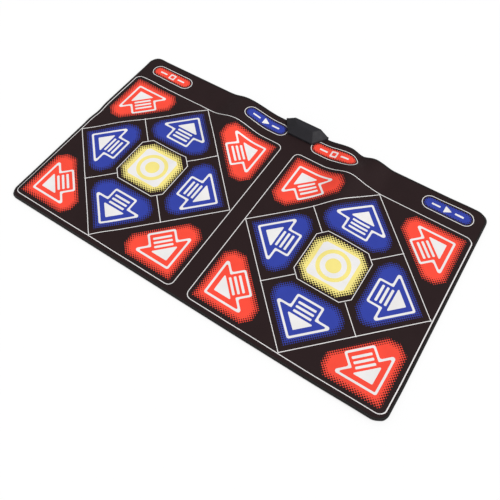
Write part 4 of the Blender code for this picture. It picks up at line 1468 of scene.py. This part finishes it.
NEAR, FAR = FOLD_X - CREASE_REACH, FOLD_X + CREASE_REACH
BOX_RIGHT, BOX_LEFT = (rear_length(box_side_x(side, MAT_REAR)) for side in (1, -1))
TAPES = (
    ("front", front_length(-NEAR), front_length(NEAR), "centre_panel", (0, 0)),
    ("right", front_length(FAR), rear_length(FAR), "right_flap", (0, 0)),
    ("rear_right", rear_length(NEAR), BOX_RIGHT, "centre_panel", (0, -BOX_SLANT)),
    ("rear_left", BOX_LEFT, rear_length(-NEAR), "centre_panel", (BOX_SLANT, 0)),
    ("left", rear_length(-FAR), LAP + front_length(-FAR), "left_flap", (0, 0)),
)
HEMS = {"left_flap": [], "centre_panel": [], "right_flap": []}
for name, start, end, body, slant in TAPES:
    tape = make_tape(f"{name}_tape", start, end, slant=slant)
    stand_for(tape, body, f"{name}_edge_binding")
    HEMS[body].append(tape)
for side, word in SIDES:
    crease = (side * FOLD_X - CREASE_REACH, side * FOLD_X + CREASE_REACH)
    front = make_tape(f"{word}_front_tape_crease", *map(front_length, crease), CREASE_STEP)
    rear = make_tape(f"{word}_rear_tape_crease", *map(rear_length, crease[::-1]), CREASE_STEP)
    HEMS[f"{word}_crease"] = [front, rear]
    for tape in (front, rear):
        bend_with_fold(tape)
for owner, piece in COVER.items():
    panel = owner.split("_")[0]


# Camera, light and floor

CAMERA_PLACE = (0.63565, -0.95260, 1.67382)
CAMERA_RIGHT = (0.83784, 0.54591, 0.00242)
CAMERA_UP = (-0.47671, 0.72947, 0.49052)
CAMERA_LENS_MM = 36.69
SENSOR_MM = 36.0
SKY_STRENGTH = 0.54
SUN_STRENGTH = 0.69
SUN_SPREAD_DEG = 50
SUN_FROM = (0.70, -0.05, 0.72)
FLOOR_SIZE = 40.0
FLOOR_DOWN = 0.0004
FLOOR_COLOUR = (0.98, 0.98, 0.98, 1)
FLOOR_GLOW_SHARE = 0.68


def make_camera():
    data = bpy.data.cameras.new("camera")
    data.lens = CAMERA_LENS_MM
    data.sensor_width = SENSOR_MM
    camera = shown("camera", data)
    right, up = Vector(CAMERA_RIGHT).normalized(), Vector(CAMERA_UP).normalized()
    turn = Matrix((right, up, right.cross(up))).transposed().to_4x4()
    camera.matrix_world = Matrix.Translation(CAMERA_PLACE) @ turn
    bpy.context.scene.camera = camera


def make_light():
    world = bpy.data.worlds.new("studio")
    bpy.context.scene.world = world
    world.use_nodes = True
    tree = world.node_tree
    sky = tree.nodes["Background"]
    sky.inputs["Color"].default_value = (1, 1, 1, 1)
    path = tree.nodes.new("ShaderNodeLightPath")
    strength = tree.nodes.new("ShaderNodeMapRange")
    strength.inputs["To Min"].default_value = SKY_STRENGTH
    strength.inputs["To Max"].default_value = 1
    tree.links.new(path.outputs["Is Camera Ray"], strength.inputs["Value"])
    tree.links.new(strength.outputs[0], sky.inputs["Strength"])
    data = bpy.data.lights.new("sun", "SUN")
    data.energy = SUN_STRENGTH * math.pi
    data.angle = math.radians(SUN_SPREAD_DEG)
    sun = shown("sun", data)
    sun.rotation_mode = "QUATERNION"
    sun.rotation_quaternion = Vector(SUN_FROM).to_track_quat("Z", "Y")


def make_floor():
    """A white floor that keeps the mat's soft shadow, and looks white to the camera."""
    corners = [(x, y, 0) for x, y in block(FLOOR_SIZE, FLOOR_SIZE)]
    finish = Finish("floor_white", roughness=0.9, Specular_IOR_Level=0)
    finish.colour(FLOOR_COLOUR)
    rays = finish.node("ShaderNodeLightPath").outputs
    seen = finish.math("MAXIMUM", rays["Is Camera Ray"], rays["Is Glossy Ray"])
    share = finish.math("MULTIPLY", seen, FLOOR_GLOW_SHARE)
    glow = finish.node("ShaderNodeEmission").outputs[0]
    mix = finish.node("ShaderNodeMixShader", {0: share, 1: finish.shader.outputs[0], 2: glow})
    finish.join(mix.outputs[0], finish.tree.nodes["Material Output"].inputs["Surface"])
    floor = mesh_object("floor", corners, [(0, 1, 2, 3)], [finish.material])
    floor.location.z = -FLOOR_DOWN


make_camera()
make_light()
make_floor()
bpy.context.scene.view_settings.view_transform = "Standard"
